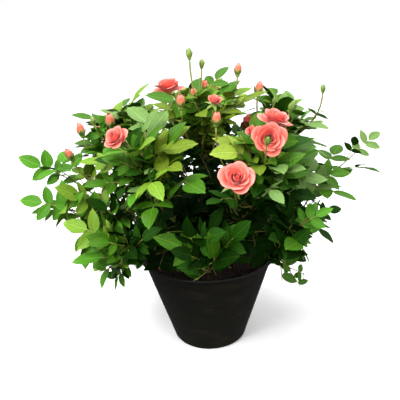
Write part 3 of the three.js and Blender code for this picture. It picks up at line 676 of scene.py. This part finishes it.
def leaflet_forms(row_count, columns, tooth_out, tooth_in):
    """Eight forms of one leaflet: columns across, rows along, in units of its width and length."""
    rows = np.linspace(0, 1, row_count)
    places = [0, 0.05, 0.14, 0.27, 0.42, 0.58, 0.72, 0.84, 0.93, 1]
    widths = [0.07, 0.42, 0.74, 0.95, 1, 0.93, 0.74, 0.48, 0.22, 0.02]
    half = np.interp(rows, places, widths)
    forms = []
    for i in range(8):
        draw = seeded(SEEDS["leaflet forms"] + i)
        fold = lerp(0.04, 0.32, draw())
        arch = lerp(0.03, 0.24, draw())
        wave = lerp(0.0, 0.035, draw())
        phase = draw() * 6
        bend = lerp(-0.07, 0.07, draw())
        points = []
        for r, t in enumerate(rows):
            for column in columns:
                edge = abs(column) == 1 and 0 < r < row_count - 1
                x = column * (half[r] + ((tooth_out if r % 2 else -tooth_in) if edge else 0))
                y = t + (tooth_out * 0.4 if edge and r % 2 else 0)
                lift = fold * abs(x) * 0.29 + wave * math.sin(9 * t + phase + (1.5 if column > 0 else 0)) * x * x
                points.append((x + bend * t * t * 3, y, lift - arch * t * t))
        forms.append(np.array(points))
    uvs = np.array([(0.5 + 0.5 * column * half[r], t) for r, t in enumerate(rows) for column in columns])
    return forms, grid_quads(row_count, len(columns), False), uvs


def tone_of(leaf, draw):
    """The tone that a leaf's place gives it: young at the tips, dark inside, pale at the upper right. The dark
    tones inside the crown and lower down are painted shade, and the lighter tones high up are partly painted light.
    """
    x, _, z = leaf.end
    outward = leaf.end - CROWN_FOOT
    depth = np.linalg.norm(outward) / max(crown_reach(unit(outward)), 1)
    pick = draw()
    for (left, right), (low, high), inside, at_surface in TONE_REGIONS_WITH_PAINTED_LIGHT:
        if left < x < right and low < z < high:
            # Leaves inside the crown get the darker inside tones, which are painted shade
            tones = (inside if leaf.inner or depth < PAINTED_SHADE_INSIDE_UNDER else at_surface).split()
            return tones[int(pick * len(tones))]


def flower_clearings():
    """Round columns that leaves keep out of, so that they don't hide the flowers."""
    starts, ends, widths = [], [], []
    for at, facing, radius, kind, _ in FLOWERS:
        centre = vec(*at)
        free = radius + (FREE_ROUND_BLOOM if kind in OPEN_STAGES else FREE_ROUND_BUD)
        columns = [unit(vec(*facing)) * FREE_AHEAD * 0.6]
        if at[1] < 60:
            columns.append(FRONT * FREE_AHEAD)
        for ahead in columns:
            starts.append(centre)
            ends.append(centre + ahead)
            widths.append(free)
    return np.array(starts), np.array(ends) - np.array(starts), np.array(widths)


def in_clearing(points, clearings):
    starts, along, widths = clearings
    away = points[:, None, :] - starts[None]
    share = np.clip((away * along).sum(2) / (along**2).sum(1), 0, 1)
    return (np.linalg.norm(away - share[:, :, None] * along, axis=2) < widths).any()


def make_leaves(leaves, nodes):
    toothed = leaflet_forms(row_count=14, columns=(-1, -0.5, 0, 0.5, 1), tooth_out=0.028, tooth_in=0.02)
    plain = leaflet_forms(row_count=8, columns=(-1, 0, 1), tooth_out=0, tooth_in=0)
    gathered = {tone: Gathered() for tone in LEAF_TONES}
    clearings = flower_clearings()
    draw = seeded(SEEDS["leaf tones"])
    for leaf in leaves:
        tone = tone_of(leaf, draw)
        forms, quads, uvs = plain if leaf.inner else toothed
        grown = []
        for root, along, face, length in leaf.leaflets:
            pick, wide = int(draw() * len(forms)), lerp(*LEAFLET_WIDTHS, draw())
            probes = np.array([root + along * length * share for share in (0.1, 0.4, 0.7, 1)])
            tip = probes[-1]
            if not all(clear_of_pot(p, POT_MARGIN) for p in probes) or in_clearing(probes, clearings):
                continue
            if tip[2] < skirt_height(tip) or not (leaf.far or inside_crown(lerp(CROWN_FOOT, tip, FURTHEST_OUT))):
                continue
            across = np.cross(along, face)
            basis = np.array([across * length * LEAFLET_HALF_WIDTH * wide, along * length, face * length])
            grown.append(root + forms[pick] @ basis)
        leaf.kept = len(grown) >= FEWEST_LEAFLETS * len(leaf.leaflets)
        for points in grown if leaf.kept else ():
            gathered[tone].add(points, quads, uvs)
    for tone, look in LEAF_TONES.items():
        gathered[tone].piece(f"leaves_{tone}", leaf_material(*look), "foliage", nodes)


# Flowers

def petal(gathered, base, axis, turn, start, angles, length, half, ruffle, curl, spiral):
    """One petal, which leaves its flower's axis at the first of its angles and bends through the rest."""
    side, other = sides_of(axis, vec(1, 0.2, 0.1))
    rows, columns, fine = 9, 9, 24
    steps = np.linspace(0, 1, fine + 1)
    bend = np.radians(np.interp(steps, np.linspace(0, 1, len(angles)), angles))
    out = start + np.concatenate([[0], np.cumsum(np.sin(bend[1:]))]) * length / fine
    rise = np.concatenate([[0], np.cumsum(np.cos(bend[1:]))]) * length / fine
    v, u = np.meshgrid(np.linspace(0, 1, rows), np.linspace(-1, 1, columns), indexing="ij")
    run = v * (1 - 0.3 * abs(u) ** 2.6)
    width = np.interp(v, [0, 0.15, 0.4, 0.7, 1], [0.32, 0.6, 0.92, 1, 0.9])
    wave, phase = ruffle
    lift = wave * np.sin(3.3 * u + phase) * v**2 + curl * u**2 * v
    angle = np.interp(run, steps, bend)
    away = np.interp(run, steps, out) + lift * np.cos(angle)
    height = np.interp(run, steps, rise) - lift * np.sin(angle)
    spread = turn + u * half * width / np.maximum(away, half * 0.35)
    away = np.maximum(away + u * spiral, 0.1)
    spokes = side * np.cos(spread)[..., None] + other * np.sin(spread)[..., None]
    points = base + spokes * away[..., None] + axis * height[..., None]
    gathered.add(points, grid_quads(rows, columns, False), np.stack([0.5 + 0.5 * u, v], axis=-1))


def bloom(gathered, at, axis, radius, openness, petals, seed):
    """A double bloom: petals in a golden spiral, rolled back outside and wrapped close inside."""
    draw = seeded(seed)
    base = at - axis * radius * FLOWER_SUNK
    outer = np.array([26, 58, 72, 86, 124]) * openness
    inner = np.array([8, 14, 4, -8, -14])
    for k in range(petals):
        share = k / (petals - 1)
        angles = lerp(outer, inner, share**0.62) + 12 * (draw() - 0.5)
        length = radius * lerp(1.1, 0.84, share) * lerp(0.93, 1.05, draw())
        half = radius * lerp(0.7, 0.4, share) * lerp(0.9, 1.1, draw())
        ruffle = (radius * lerp(0.055, 0.012, share), draw() * 6)
        curl = radius * lerp(0.07, -0.03, share)
        petal(gathered, base, axis, math.radians(k * GOLDEN_ANGLE + 14 * draw()), radius * lerp(0.1, 0.03, share),
              angles, length, half, ruffle, curl, radius * 0.055 * share)


def sepals(gathered, base, axis, length, half, angle, curl, seed):
    draw = seeded(seed)
    side, other = sides_of(axis, vec(0.3, 1, 0.1))
    rows, columns = 6, 3
    quads = grid_quads(rows, columns, False)
    width = np.interp(np.linspace(0, 1, rows), [0, 0.2, 0.5, 0.8, 1], [0.7, 1, 0.75, 0.3, 0.05])
    for k in range(5):
        turn = 2 * math.pi * k / 5 + 0.3 * (draw() - 0.5)
        out, rise = half * 0.8, 0.0
        points, uvs = [], []
        tilt = angle + 16 * (draw() - 0.5)
        for i in range(rows):
            v = i / (rows - 1)
            a = math.radians(tilt + curl * v)
            if i:
                out += math.sin(a) * length / (rows - 1)
                rise += math.cos(a) * length / (rows - 1)
            for u in (-1, 0, 1):
                spread = turn + u * half * width[i] / (out + half * 0.4)
                lift = rise - abs(u) * half * 0.15
                points.append(base + (side * math.cos(spread) + other * math.sin(spread)) * out + axis * lift)
                uvs.append((0.5 + 0.5 * u, v))
        gathered.add(points, quads, uvs)


def egg(gathered, base, axis, profile, segments, twist=0.0):
    """A rounded body about an axis, from (radius, height) pairs."""
    side, other = sides_of(axis, vec(0.3, 1, 0.1))
    points, uvs = [], []
    for i, (radius, height) in enumerate(profile):
        for k in range(segments):
            a = 2 * math.pi * k / segments + twist * i
            ridge = 1 + 0.06 * math.cos(3 * a)
            spoke = side * math.cos(a) + other * math.sin(a)
            points.append(base + spoke * radius * ridge + axis * height)
            uvs.append((k / segments, i / (len(profile) - 1)))
    gathered.add(points, grid_quads(len(profile), segments, True), uvs)


def make_flowers(masses, materials, nodes):
    petals, bud_petals, greens, stalks = (Gathered() for _ in range(4))
    pedicels = []
    for i, (at, facing, radius, kind, leafy) in enumerate(FLOWERS):
        at, axis = vec(*at), unit(vec(*facing))
        line = pedicel_line(at, axis, radius, nearest_mass(at, masses))
        pedicels.append((line, leafy))
        if kind in OPEN_STAGES:
            stage = OPEN_STAGES[kind]
            base = at - axis * radius * FLOWER_SUNK
            long, half, angle, curl = stage["sepals"]
            bloom(petals, at, axis, radius * stage["size"], stage["openness"], stage["petals"], SEEDS["blooms"] + i)
            egg(greens, base - axis * stage["drop"], axis, stage["hip"], 10)
            sepals(greens, base, axis, radius * long, half, angle, curl, SEEDS["sepals"] + i)
        else:
            make_bud(bud_petals, greens, at, axis, radius, kind, SEEDS["sepals"] + i)
        tube(stalks, line, (1.0, 0.75, 0.85), 6)
    petals.piece("petals", materials["petal"], "foliage", nodes)
    bud_petals.piece("bud_petals", materials["bud"], "foliage", nodes)
    greens.piece("sepals_and_hips", materials["sepal"], "foliage", nodes, weld=True)
    stalks.piece("flower_stalks", materials["stalk"], "foliage", nodes)
    return pedicels


def make_bud(bud_petals, greens, at, axis, radius, kind, seed):
    """A pointed bud over its hip: its petals wrap each other and show above the sepals when it colours."""
    draw = seeded(seed + 40)
    height = radius * 2.6
    base = at - axis * height / 2
    hip = [(0, -0.4), (0.5, -0.4), (radius * 0.42, 0.08 * height), (radius * 0.46, 0.17 * height),
           (radius * 0.36, 0.25 * height), (0, 0.27 * height)]
    egg(greens, base, axis, hip, 10)
    cup = base + axis * height * 0.2
    body = height * 0.8
    if kind == "green":
        shape = [(0, 0), (0.3, 0), (0.58, 0.12), (0.7, 0.32), (0.64, 0.55), (0.42, 0.78), (0.18, 0.94), (0, 1)]
        egg(greens, cup, axis, [(radius * r, body * h) for r, h in shape], 12, 0.16)
        sepals(greens, cup, axis, body * 1.08, radius * 0.55, 34, -62, seed)
        return
    angles = np.array([72, 30, 2, -16, -34])
    for k in range(7):
        tight = 1 - 0.085 * k
        petal(bud_petals, cup + axis * body * 0.012 * k, axis, math.radians(k * GOLDEN_ANGLE), radius * 0.06,
              angles * lerp(0.94, 1.06, draw()), body * 1.17 * lerp(1, 0.96, k / 6), radius * 0.82 * tight,
              (radius * 0.03, draw() * 6), 0, radius * 0.05)
    sepals(greens, cup, axis, body * 0.72, radius * 0.52, 40, -26, seed)


def pedicel_line(at, axis, radius, mass):
    end = at - axis * radius * (0.85 if radius > 9 else 1.3)
    start = point_along(mass["stem"], branch_share(end, mass["stem"], 1))
    span = np.linalg.norm(end - start)
    return bezier(start, end - axis * span * 0.25 - UP * span * 0.25, end, 10)


# Limbs

def bark_knots(point):
    return 1 + 0.09 * noise.noise(Vector(point * 0.22)) + 0.05 * noise.noise(Vector(point * 0.9))


def prickles(gathered, path, radius, spacing, length, seed):
    draw = seeded(seed)
    run = spacing * draw()
    whole = line_length(path)
    while run < whole * 0.97:
        share = run / whole
        place = point_along(path, share)
        axis = unit(point_along(path, min(1, share + 0.03)) - point_along(path, max(0, share - 0.03)))
        out, other = sides_of(axis, direction(draw() * 360, 0) + UP * 0.2)
        foot = place + out * radius * 0.8
        tip = foot + out * length - axis * length * 0.45
        width, tall = length * 0.22, length * 0.5
        ring = [foot + axis * tall, foot + other * width, foot - axis * tall, foot - other * width]
        middle = [lerp(p, tip, 0.5) for p in ring]
        top = [lerp(p, tip, 0.97) for p in ring]
        points = np.array(ring[::-1] + middle[::-1] + top[::-1])
        quads = grid_quads(3, 4, True).tolist() + [[3, 2, 1, 0], [8, 9, 10, 11]]
        gathered.add(points, quads, [(0.5, 0.5)] * 12)
        run += spacing * lerp(0.6, 1.5, draw())


def make_limbs(masses, twigs, leaves, materials, foliage_nodes):
    canes, stems, shoots, stalks, thorns = (Gathered() for _ in range(5))
    for i, mass in enumerate(masses):
        tube(canes, mass["cane"], (CANE_BASE_RADIUS * 1.12, CANE_BASE_RADIUS, CANE_TIP_RADIUS), 12, bark_knots)
        tube(stems, mass["stem"], (CANE_TIP_RADIUS, STEM_END_RADIUS, STEM_END_RADIUS * 0.7), 8)
        prickles(thorns, mass["cane"], CANE_TIP_RADIUS, 11, 3.0, SEEDS["cane prickles"] + i)
        prickles(thorns, mass["stem"], STEM_END_RADIUS, 16, 2.4, SEEDS["stem prickles"] + i)
    for twig in twigs:
        tube(shoots, twig, TWIG_RADII, 6)
    for leaf in leaves:
        if leaf.kept:
            tube(stalks, leaf.path, STALK_RADII, 4)
    cane_nodes = ["cane_" + mass["name"] for mass in masses]
    canes.piece("canes", materials["bark"], "wood", cane_nodes)
    thorns.piece("prickles", materials["prickle"], "wood", cane_nodes)
    stems.piece("side_stems", materials["shoot"], "foliage", foliage_nodes)
    shoots.piece("twigs", materials["shoot"], "foliage", foliage_nodes)
    stalks.piece("leaf_stalks", materials["stalk"], "foliage", foliage_nodes)


def make_stem(material):
    stem = Gathered()
    foot = COMPOST_TOP + GAP
    outline = [(0, 0), (STEM_FLARE_RADIUS, 0), (STEM_FLARE_RADIUS * 0.93, 0.06), (STEM_RADIUS + 1.8, 0.16),
               (STEM_RADIUS + 0.7, 0.3), (STEM_RADIUS, 0.45), (STEM_RADIUS * 0.96, 0.62),
               (STEM_RADIUS * 0.9, 0.78), (STEM_RADIUS * 0.74, 0.89), (STEM_RADIUS * 0.45, 0.97), (0, 1)]

    def gnarled(point):
        share = (point[2] - foot) / STEM_HEIGHT
        angle = math.atan2(point[1], point[0])
        ridge = 1 + 0.06 * math.sin(5 * angle + share * 2) + 0.08 * noise.noise(Vector(point * 0.25))
        return vec(point[0] * ridge + STEM_LEAN * share, point[1] * ridge, point[2])

    turned(stem, [(radius, foot + STEM_HEIGHT * h) for radius, h in outline], 40, gnarled)
    stem.piece("stem_bark", material, "wood", ["stem"], weld=True)


# Pot and compost

def wall_radius(height):
    return lerp(POT_BASE_RADIUS, POT_RIM_RADIUS - FLARE_STEP, height / (POT_HEIGHT - FLARE_HEIGHT))


def ovalled(point):
    """Round at the foot, and oval by degrees towards the lip."""
    return vec(point[0], point[1] * lerp(1, POT_OVAL, point[2] / POT_HEIGHT), point[2])


def make_pot(material):
    pot = Gathered()
    flare_foot = POT_HEIGHT - FLARE_HEIGHT
    lip = (POT_RIM_RADIUS - LIP_RADIUS, POT_HEIGHT - LIP_RADIUS)
    profile = [(0, 0), (20, 0), (wall_radius(0) - FOOT_ROUND - 0.6, 0)]
    for turn in (-70, -45, -20, 0):
        angle = math.radians(turn)
        profile.append((wall_radius(FOOT_ROUND) - FOOT_ROUND * (1 - math.cos(angle)),
                        FOOT_ROUND * (1 + math.sin(angle))))
    profile += [(wall_radius(h), h) for h in np.linspace(FOOT_ROUND + 3, flare_foot - 2.5, 16)]
    for out, up in ((0, -1), (0.4, 0.1), (1.3, 0.9), (2.9, 2.2), (4.4, 3.3)):
        profile.append((wall_radius(flare_foot) + out, flare_foot + up))
    for turn in range(-40, 181, 20):
        angle = math.radians(turn)
        profile.append((lip[0] + LIP_RADIUS * math.cos(angle), lip[1] + LIP_RADIUS * math.sin(angle)))
    profile += [(wall_radius(h) - POT_WALL, h) for h in (flare_foot, COMPOST_EDGE, POT_MIDDLE, POT_FLOOR)]
    profile.append((0, POT_FLOOR))
    turned(pot, profile, 128, ovalled)
    pot.piece("pot_shell", material, "pot", ["pot"], weld=True)


def make_compost(material, crumb_material):
    compost = Gathered()
    inside = lambda height: wall_radius(height) - POT_WALL - GAP
    edge = inside(COMPOST_EDGE - 2)
    profile = [(0, POT_FLOOR + GAP), (inside(POT_FLOOR + GAP), POT_FLOOR + GAP), (inside(POT_MIDDLE), POT_MIDDLE),
               (edge, COMPOST_EDGE - 2), (edge - 0.6, COMPOST_EDGE - 0.4)]
    for radius in np.linspace(edge - 3, 0, 26):
        mound = clamp((edge - radius) / (edge * 0.4), 0, 1)
        profile.append((radius, lerp(COMPOST_EDGE, COMPOST_TOP, mound)))

    def lumpy(point):
        point = ovalled(point)
        if point[2] < COMPOST_EDGE - 1:
            return point
        lumps = noise.noise(Vector(point * 0.11)) + 0.6 * noise.noise(Vector(point * 0.33))
        radius = math.hypot(point[0], point[1])
        calm = clamp((radius - STEM_FLARE_RADIUS) / 8, 0, 1)
        return point + UP * (lumps * 1.1 - 0.9) * calm

    turned(compost, profile, 96, lumpy)
    soil = compost.piece("compost_soil", material, "compost", ["compost"], weld=True)
    scatter_crumbs(soil, crumb_material)


def scatter_crumbs(soil, material):
    """Bark crumbs strewn over the compost's surface."""
    holder = new_object("compost_crumbs", soil.data.copy())
    tree = bpy.data.node_groups.new("strewn crumbs", "GeometryNodeTree")
    tree.interface.new_socket(name="Geometry", in_out="INPUT", socket_type="NodeSocketGeometry")
    sockets = {name: tree.interface.new_socket(name=name, in_out="INPUT", socket_type=kind)
               for name, (kind, _) in CRUMBS.items()}
    tree.interface.new_socket(name="Geometry", in_out="OUTPUT", socket_type="NodeSocketGeometry")
    node = tree.nodes.new
    inputs, outputs = node("NodeGroupInput"), node("NodeGroupOutput")
    strew = node("GeometryNodeDistributePointsOnFaces")
    crumb = node("GeometryNodeMeshIcoSphere")
    crumb.inputs["Radius"].default_value = 1.0
    crumb.inputs["Subdivisions"].default_value = 1
    instance = node("GeometryNodeInstanceOnPoints")
    size, turn = node("FunctionNodeRandomValue"), node("FunctionNodeRandomValue")
    size.data_type = turn.data_type = "FLOAT_VECTOR"
    turn.inputs["Max"].default_value = (6.28, 6.28, 6.28)
    place, split, above = node("GeometryNodeInputPosition"), node("ShaderNodeSeparateXYZ"), node("ShaderNodeMath")
    above.operation = "GREATER_THAN"
    realize, finish = node("GeometryNodeRealizeInstances"), node("GeometryNodeSetMaterial")
    finish.inputs["Material"].default_value = material
    for source, output, target, entry in (
        (inputs, "Geometry", strew, "Mesh"),
        (inputs, "Crumbs per square metre", strew, "Density"),
        (inputs, "Seed", strew, "Seed"),
        (place, "Position", split, "Vector"),
        (split, "Z", above, 0),
        (inputs, "Lowest height", above, 1),
        (above, "Value", strew, "Selection"),
        (strew, "Points", instance, "Points"),
        (crumb, "Mesh", instance, "Instance"),
        (inputs, "Smallest crumb", size, "Min"),
        (inputs, "Largest crumb", size, "Max"),
        (inputs, "Seed", size, "Seed"),
        (inputs, "Seed", turn, "Seed"),
        (size, "Value", instance, "Scale"),
        (turn, "Value", instance, "Rotation"),
        (instance, "Instances", realize, "Geometry"),
        (realize, "Geometry", finish, "Geometry"),
        (finish, "Geometry", outputs, "Geometry"),
    ):
        tree.links.new(source.outputs[output], target.inputs[entry])
    strewn = holder.modifiers.new("strewn crumbs", "NODES")
    strewn.node_group = tree
    for name, (_, value) in CRUMBS.items():
        strewn[sockets[name].identifier] = value
    graph = bpy.context.evaluated_depsgraph_get()
    mesh = bpy.data.meshes.new_from_object(holder.evaluated_get(graph))
    bpy.data.objects.remove(holder)
    mesh.materials.clear()
    place_piece("compost_crumbs", mesh, material)


# Materials

def new_material(name, **finish):
    """A material, its nodes and its shader, which gets a finish such as Roughness=0.5."""
    material = bpy.data.materials.new(name)
    material.use_nodes = True
    shader = material.node_tree.nodes["Principled BSDF"]
    for entry, value in finish.items():
        shader.inputs[entry.replace("_", " ")].default_value = value
    return material, material.node_tree, shader


def linear(colour):
    """A display colour of three 0-255 values as scene-linear values."""
    return tuple((c / 255 / 12.92) if c <= 10 else ((c / 255 + 0.055) / 1.055) ** 2.4 for c in colour) + (1.0,)


def feed(tree, target, value):
    """Links a node's output to an input, or gives the input a plain value."""
    if hasattr(value, "links"):
        tree.links.new(value, target)
    else:
        target.default_value = value


def math_node(tree, operation, a, b=None):
    node = tree.nodes.new("ShaderNodeMath")
    node.operation = operation
    feed(tree, node.inputs[0], a)
    if b is not None:
        feed(tree, node.inputs[1], b)
    return node.outputs["Value"]


def ramp(tree, value, low, high, start=0.0, end=1.0):
    node = tree.nodes.new("ShaderNodeMapRange")
    node.interpolation_type = "SMOOTHSTEP"
    tree.links.new(value, node.inputs["Value"])
    for name, number in zip(("From Min", "From Max", "To Min", "To Max"), (low, high, start, end)):
        node.inputs[name].default_value = number
    return node.outputs["Result"]


def mix_colours(tree, share, first, second):
    node = tree.nodes.new("ShaderNodeMix")
    node.data_type = "RGBA"
    feed(tree, node.inputs["Factor"], share)
    for target, colour in zip([item for item in node.inputs if item.type == "RGBA"], (first, second)):
        feed(tree, target, colour)
    return [item for item in node.outputs if item.type == "RGBA"][0]


def own_uv(tree):
    coordinates = tree.nodes.new("ShaderNodeTexCoord")
    split = tree.nodes.new("ShaderNodeSeparateXYZ")
    tree.links.new(coordinates.outputs["UV"], split.inputs["Vector"])
    return coordinates, split.outputs["X"], split.outputs["Y"]


def noise_pattern(tree, coordinates, scale, detail, stretch=(1, 1, 1)):
    mapping = tree.nodes.new("ShaderNodeMapping")
    mapping.inputs["Scale"].default_value = stretch
    tree.links.new(coordinates, mapping.inputs["Vector"])
    pattern = tree.nodes.new("ShaderNodeTexNoise")
    pattern.inputs["Scale"].default_value = scale
    pattern.inputs["Detail"].default_value = detail
    tree.links.new(mapping.outputs["Vector"], pattern.inputs["Vector"])
    return pattern.outputs["Fac"]


def add_bump(tree, shader, height, strength, distance):
    bump = tree.nodes.new("ShaderNodeBump")
    bump.inputs["Strength"].default_value = strength
    bump.inputs["Distance"].default_value = distance
    tree.links.new(height, bump.inputs["Height"])
    tree.links.new(bump.outputs["Normal"], shader.inputs["Normal"])


def leaf_material(name, blade_colour, vein_colour, roughness, shine):
    """A leaf blade with a pale midrib, lateral veins that run forwards and puffed fields between."""
    material, tree, shader = new_material(name, Roughness=roughness, Specular_IOR_Level=shine)
    coordinates, u, v = own_uv(tree)
    colour, vein = linear(blade_colour), linear(vein_colour)
    off_middle = math_node(tree, "ABSOLUTE", math_node(tree, "SUBTRACT", u, 0.5))
    slanted = math_node(tree, "SUBTRACT", v, math_node(tree, "MULTIPLY", off_middle, 0.62))
    phase = math_node(tree, "FRACT", math_node(tree, "MULTIPLY", slanted, 8.0))
    to_vein = math_node(tree, "ABSOLUTE", math_node(tree, "SUBTRACT", phase, 0.5))
    midrib = ramp(tree, off_middle, 0.01, 0.035, 0.6, 0.0)
    lateral = ramp(tree, to_vein, 0.0, 0.1, 0.16, 0.0)
    veins = math_node(tree, "MAXIMUM", midrib, lateral)
    blotches = noise_pattern(tree, coordinates.outputs["UV"], 5.0, 3.0)
    dark = tuple(c * 0.78 for c in colour[:3]) + (1.0,)
    blade = mix_colours(tree, ramp(tree, blotches, 0.3, 0.7), dark, colour)
    tree.links.new(mix_colours(tree, veins, blade, vein), shader.inputs["Base Color"])
    fields = ramp(tree, to_vein, 0.0, 0.5)
    groove = math_node(tree, "MULTIPLY", midrib, 0.8)
    add_bump(tree, shader, math_node(tree, "SUBTRACT", fields, groove), 0.22, 0.0005)
    return material


def petal_material(name, base, body, edge, claw):
    """A petal that goes from its claw's colour to its body's, over a share of it, and to a lighter edge."""
    material, tree, shader = new_material(name, Roughness=0.52, Specular_IOR_Level=0.3, Sheen_Weight=0.25,
                                          Sheen_Roughness=0.5)
    coordinates, u, v = own_uv(tree)
    lower = mix_colours(tree, ramp(tree, v, *claw), linear(base), linear(body))
    off_middle = math_node(tree, "ABSOLUTE", math_node(tree, "SUBTRACT", u, 0.5))
    rim = math_node(tree, "MAXIMUM", ramp(tree, v, 0.7, 1.0), ramp(tree, off_middle, 0.32, 0.5, 0.0, 0.8))
    tree.links.new(mix_colours(tree, rim, lower, linear(edge)), shader.inputs["Base Color"])
    streaks = noise_pattern(tree, coordinates.outputs["UV"], 1.0, 3.0, (26, 3, 1))
    add_bump(tree, shader, streaks, 0.25, 0.0004)
    return material


def mottled_material(name, first, second, scale, roughness, strength, distance, stretch=(1, 1, 1)):
    """Two colours in a cloudy mix on object coordinates, with a fine relief."""
    material, tree, shader = new_material(name, Roughness=roughness)
    coordinates = tree.nodes.new("ShaderNodeTexCoord")
    cloud = noise_pattern(tree, coordinates.outputs["Object"], scale, 4.0, stretch)
    mottled = mix_colours(tree, ramp(tree, cloud, 0.35, 0.65), linear(first), linear(second))
    tree.links.new(mottled, shader.inputs["Base Color"])
    fine = noise_pattern(tree, coordinates.outputs["Object"], scale * 4, 5.0, stretch)
    add_bump(tree, shader, fine, strength, distance)
    return material


def pot_material():
    """Near-black moulded plastic: fine turned lines, handling marks and faint dust of compost."""
    material, tree, shader = new_material("moulded charcoal plastic", Specular_IOR_Level=0.22)
    coordinates = tree.nodes.new("ShaderNodeTexCoord")
    place = coordinates.outputs["Object"]
    lines = noise_pattern(tree, place, 60.0, 3.0, (1, 1, 16))
    marks = noise_pattern(tree, place, 30.0, 6.0, (1, 1, 2.4))
    dust = ramp(tree, marks, 0.5, 0.75, 0.0, 0.7)
    body = mix_colours(tree, ramp(tree, lines, 0.3, 0.7), linear((21, 21, 17)), linear((30, 29, 24)))
    tree.links.new(mix_colours(tree, dust, body, linear((46, 40, 28))), shader.inputs["Base Color"])
    tree.links.new(ramp(tree, marks, 0.3, 0.75, 0.36, 0.62), shader.inputs["Roughness"])
    add_bump(tree, shader, lines, 0.25, 0.0004)
    return material


# Stage

def make_stage():
    material, _, _ = new_material("pale floor", Base_Color=(0.96, 0.96, 0.96, 1.0), Roughness=0.95)
    mesh = bpy.data.meshes.new("floor")
    corners = [(x * FLOOR_REACH, y * FLOOR_REACH, 0) for x, y in ((-1, -1), (1, -1), (1, 1), (-1, 1))]
    mesh.from_pydata(corners, [], [(0, 1, 2, 3)])
    mesh.materials.append(material)
    floor = new_object("floor", mesh)
    floor.location.z = -FLOOR_DROP
    floor.visible_diffuse = False
    floor.visible_glossy = False


def make_camera():
    """A camera in front of the bush and above it, which looks down and leans a little."""
    lens = bpy.data.cameras.new("camera")
    lens.sensor_width, lens.lens = CAMERA_SENSOR, CAMERA_LENS
    lens.clip_start, lens.clip_end = 0.01, 100
    camera = new_object("camera", lens)
    ahead = direction(90 - CAMERA_YAW, -CAMERA_PITCH)
    level = unit(np.cross(ahead, UP))
    steep = np.cross(level, ahead)
    roll = math.radians(CAMERA_ROLL)
    right = level * math.cos(roll) + steep * math.sin(roll)
    upward = steep * math.cos(roll) - level * math.sin(roll)
    turn = Matrix((right, upward, -ahead)).transposed().to_4x4()
    camera.matrix_world = Matrix.Translation(CAMERA_PLACE) @ turn
    bpy.context.scene.camera = camera


def area_light(name, place, size, power):
    data = bpy.data.lights.new(name, "AREA")
    data.shape = "DISK"
    data.size = size
    data.energy = power
    lamp = new_object(name, data)
    lamp.location = place
    lamp.rotation_mode = "QUATERNION"
    lamp.rotation_quaternion = (Vector(LAMPS_AIM) - Vector(place)).to_track_quat("-Z", "Y")


def make_light():
    """A white studio sky that is dim below the floor, with three soft lamps."""
    world = bpy.data.worlds.new("studio")
    world.use_nodes = True
    tree = world.node_tree
    sky = tree.nodes["Background"]
    sky.inputs["Color"].default_value = (1, 1, 1, 1)
    place = tree.nodes.new("ShaderNodeTexCoord")
    split = tree.nodes.new("ShaderNodeSeparateXYZ")
    tree.links.new(place.outputs["Generated"], split.inputs["Vector"])
    tree.links.new(ramp(tree, split.outputs["Z"], -0.06, -0.005, 0.1, 1.04), sky.inputs["Strength"])
    bpy.context.scene.world = world
    for lamp in LAMPS:
        area_light(*lamp)
    bpy.context.scene.view_settings.view_transform = "Standard"


make_camera()
make_light()
make_stage()

masses = lay_out_masses()
foliage_nodes = ["foliage_" + mass["name"] for mass in masses]
flower_materials = {
    "petal": petal_material("coral petal", (236, 150, 78), (232, 94, 76), (248, 140, 126), (0.05, 0.45)),
    "bud": petal_material("bud petal", (206, 192, 104), (230, 104, 80), (244, 146, 124), (0.2, 0.75)),
    "sepal": mottled_material("sepal green", (98, 128, 46), (132, 156, 66), 90, 0.5, 0.2, 0.0003),
    "stalk": mottled_material("stalk green", (122, 142, 52), (138, 116, 58), 40, 0.45, 0.15, 0.0003),
}
limb_materials = {
    "bark": mottled_material("cane bark", (92, 84, 44), (110, 82, 52), 60, 0.7, 0.5, 0.0006, (1, 1, 0.3)),
    "shoot": mottled_material("young shoot", (94, 118, 42), (108, 92, 44), 30, 0.5, 0.2, 0.0003),
    "prickle": mottled_material("prickle", (128, 78, 50), (158, 112, 70), 90, 0.5, 0.1, 0.0002),
    "stalk": flower_materials["stalk"],
}
pedicels = make_flowers(masses, flower_materials, foliage_nodes)
leaves, twigs = lay_out_leaves(masses, pedicels)
make_leaves(leaves, foliage_nodes)
make_limbs(masses, twigs, leaves, limb_materials, foliage_nodes)
make_stem(mottled_material("woody stem", (96, 76, 52), (68, 56, 40), 70, 0.8, 0.7, 0.001, (1, 1, 0.3)))
make_pot(pot_material())
make_compost(
    mottled_material("damp compost", (44, 31, 22), (24, 17, 13), 120, 0.95, 0.9, 0.001),
    mottled_material("bark crumbs", (70, 48, 32), (34, 24, 17), 200, 0.9, 0.4, 0.0004),
)
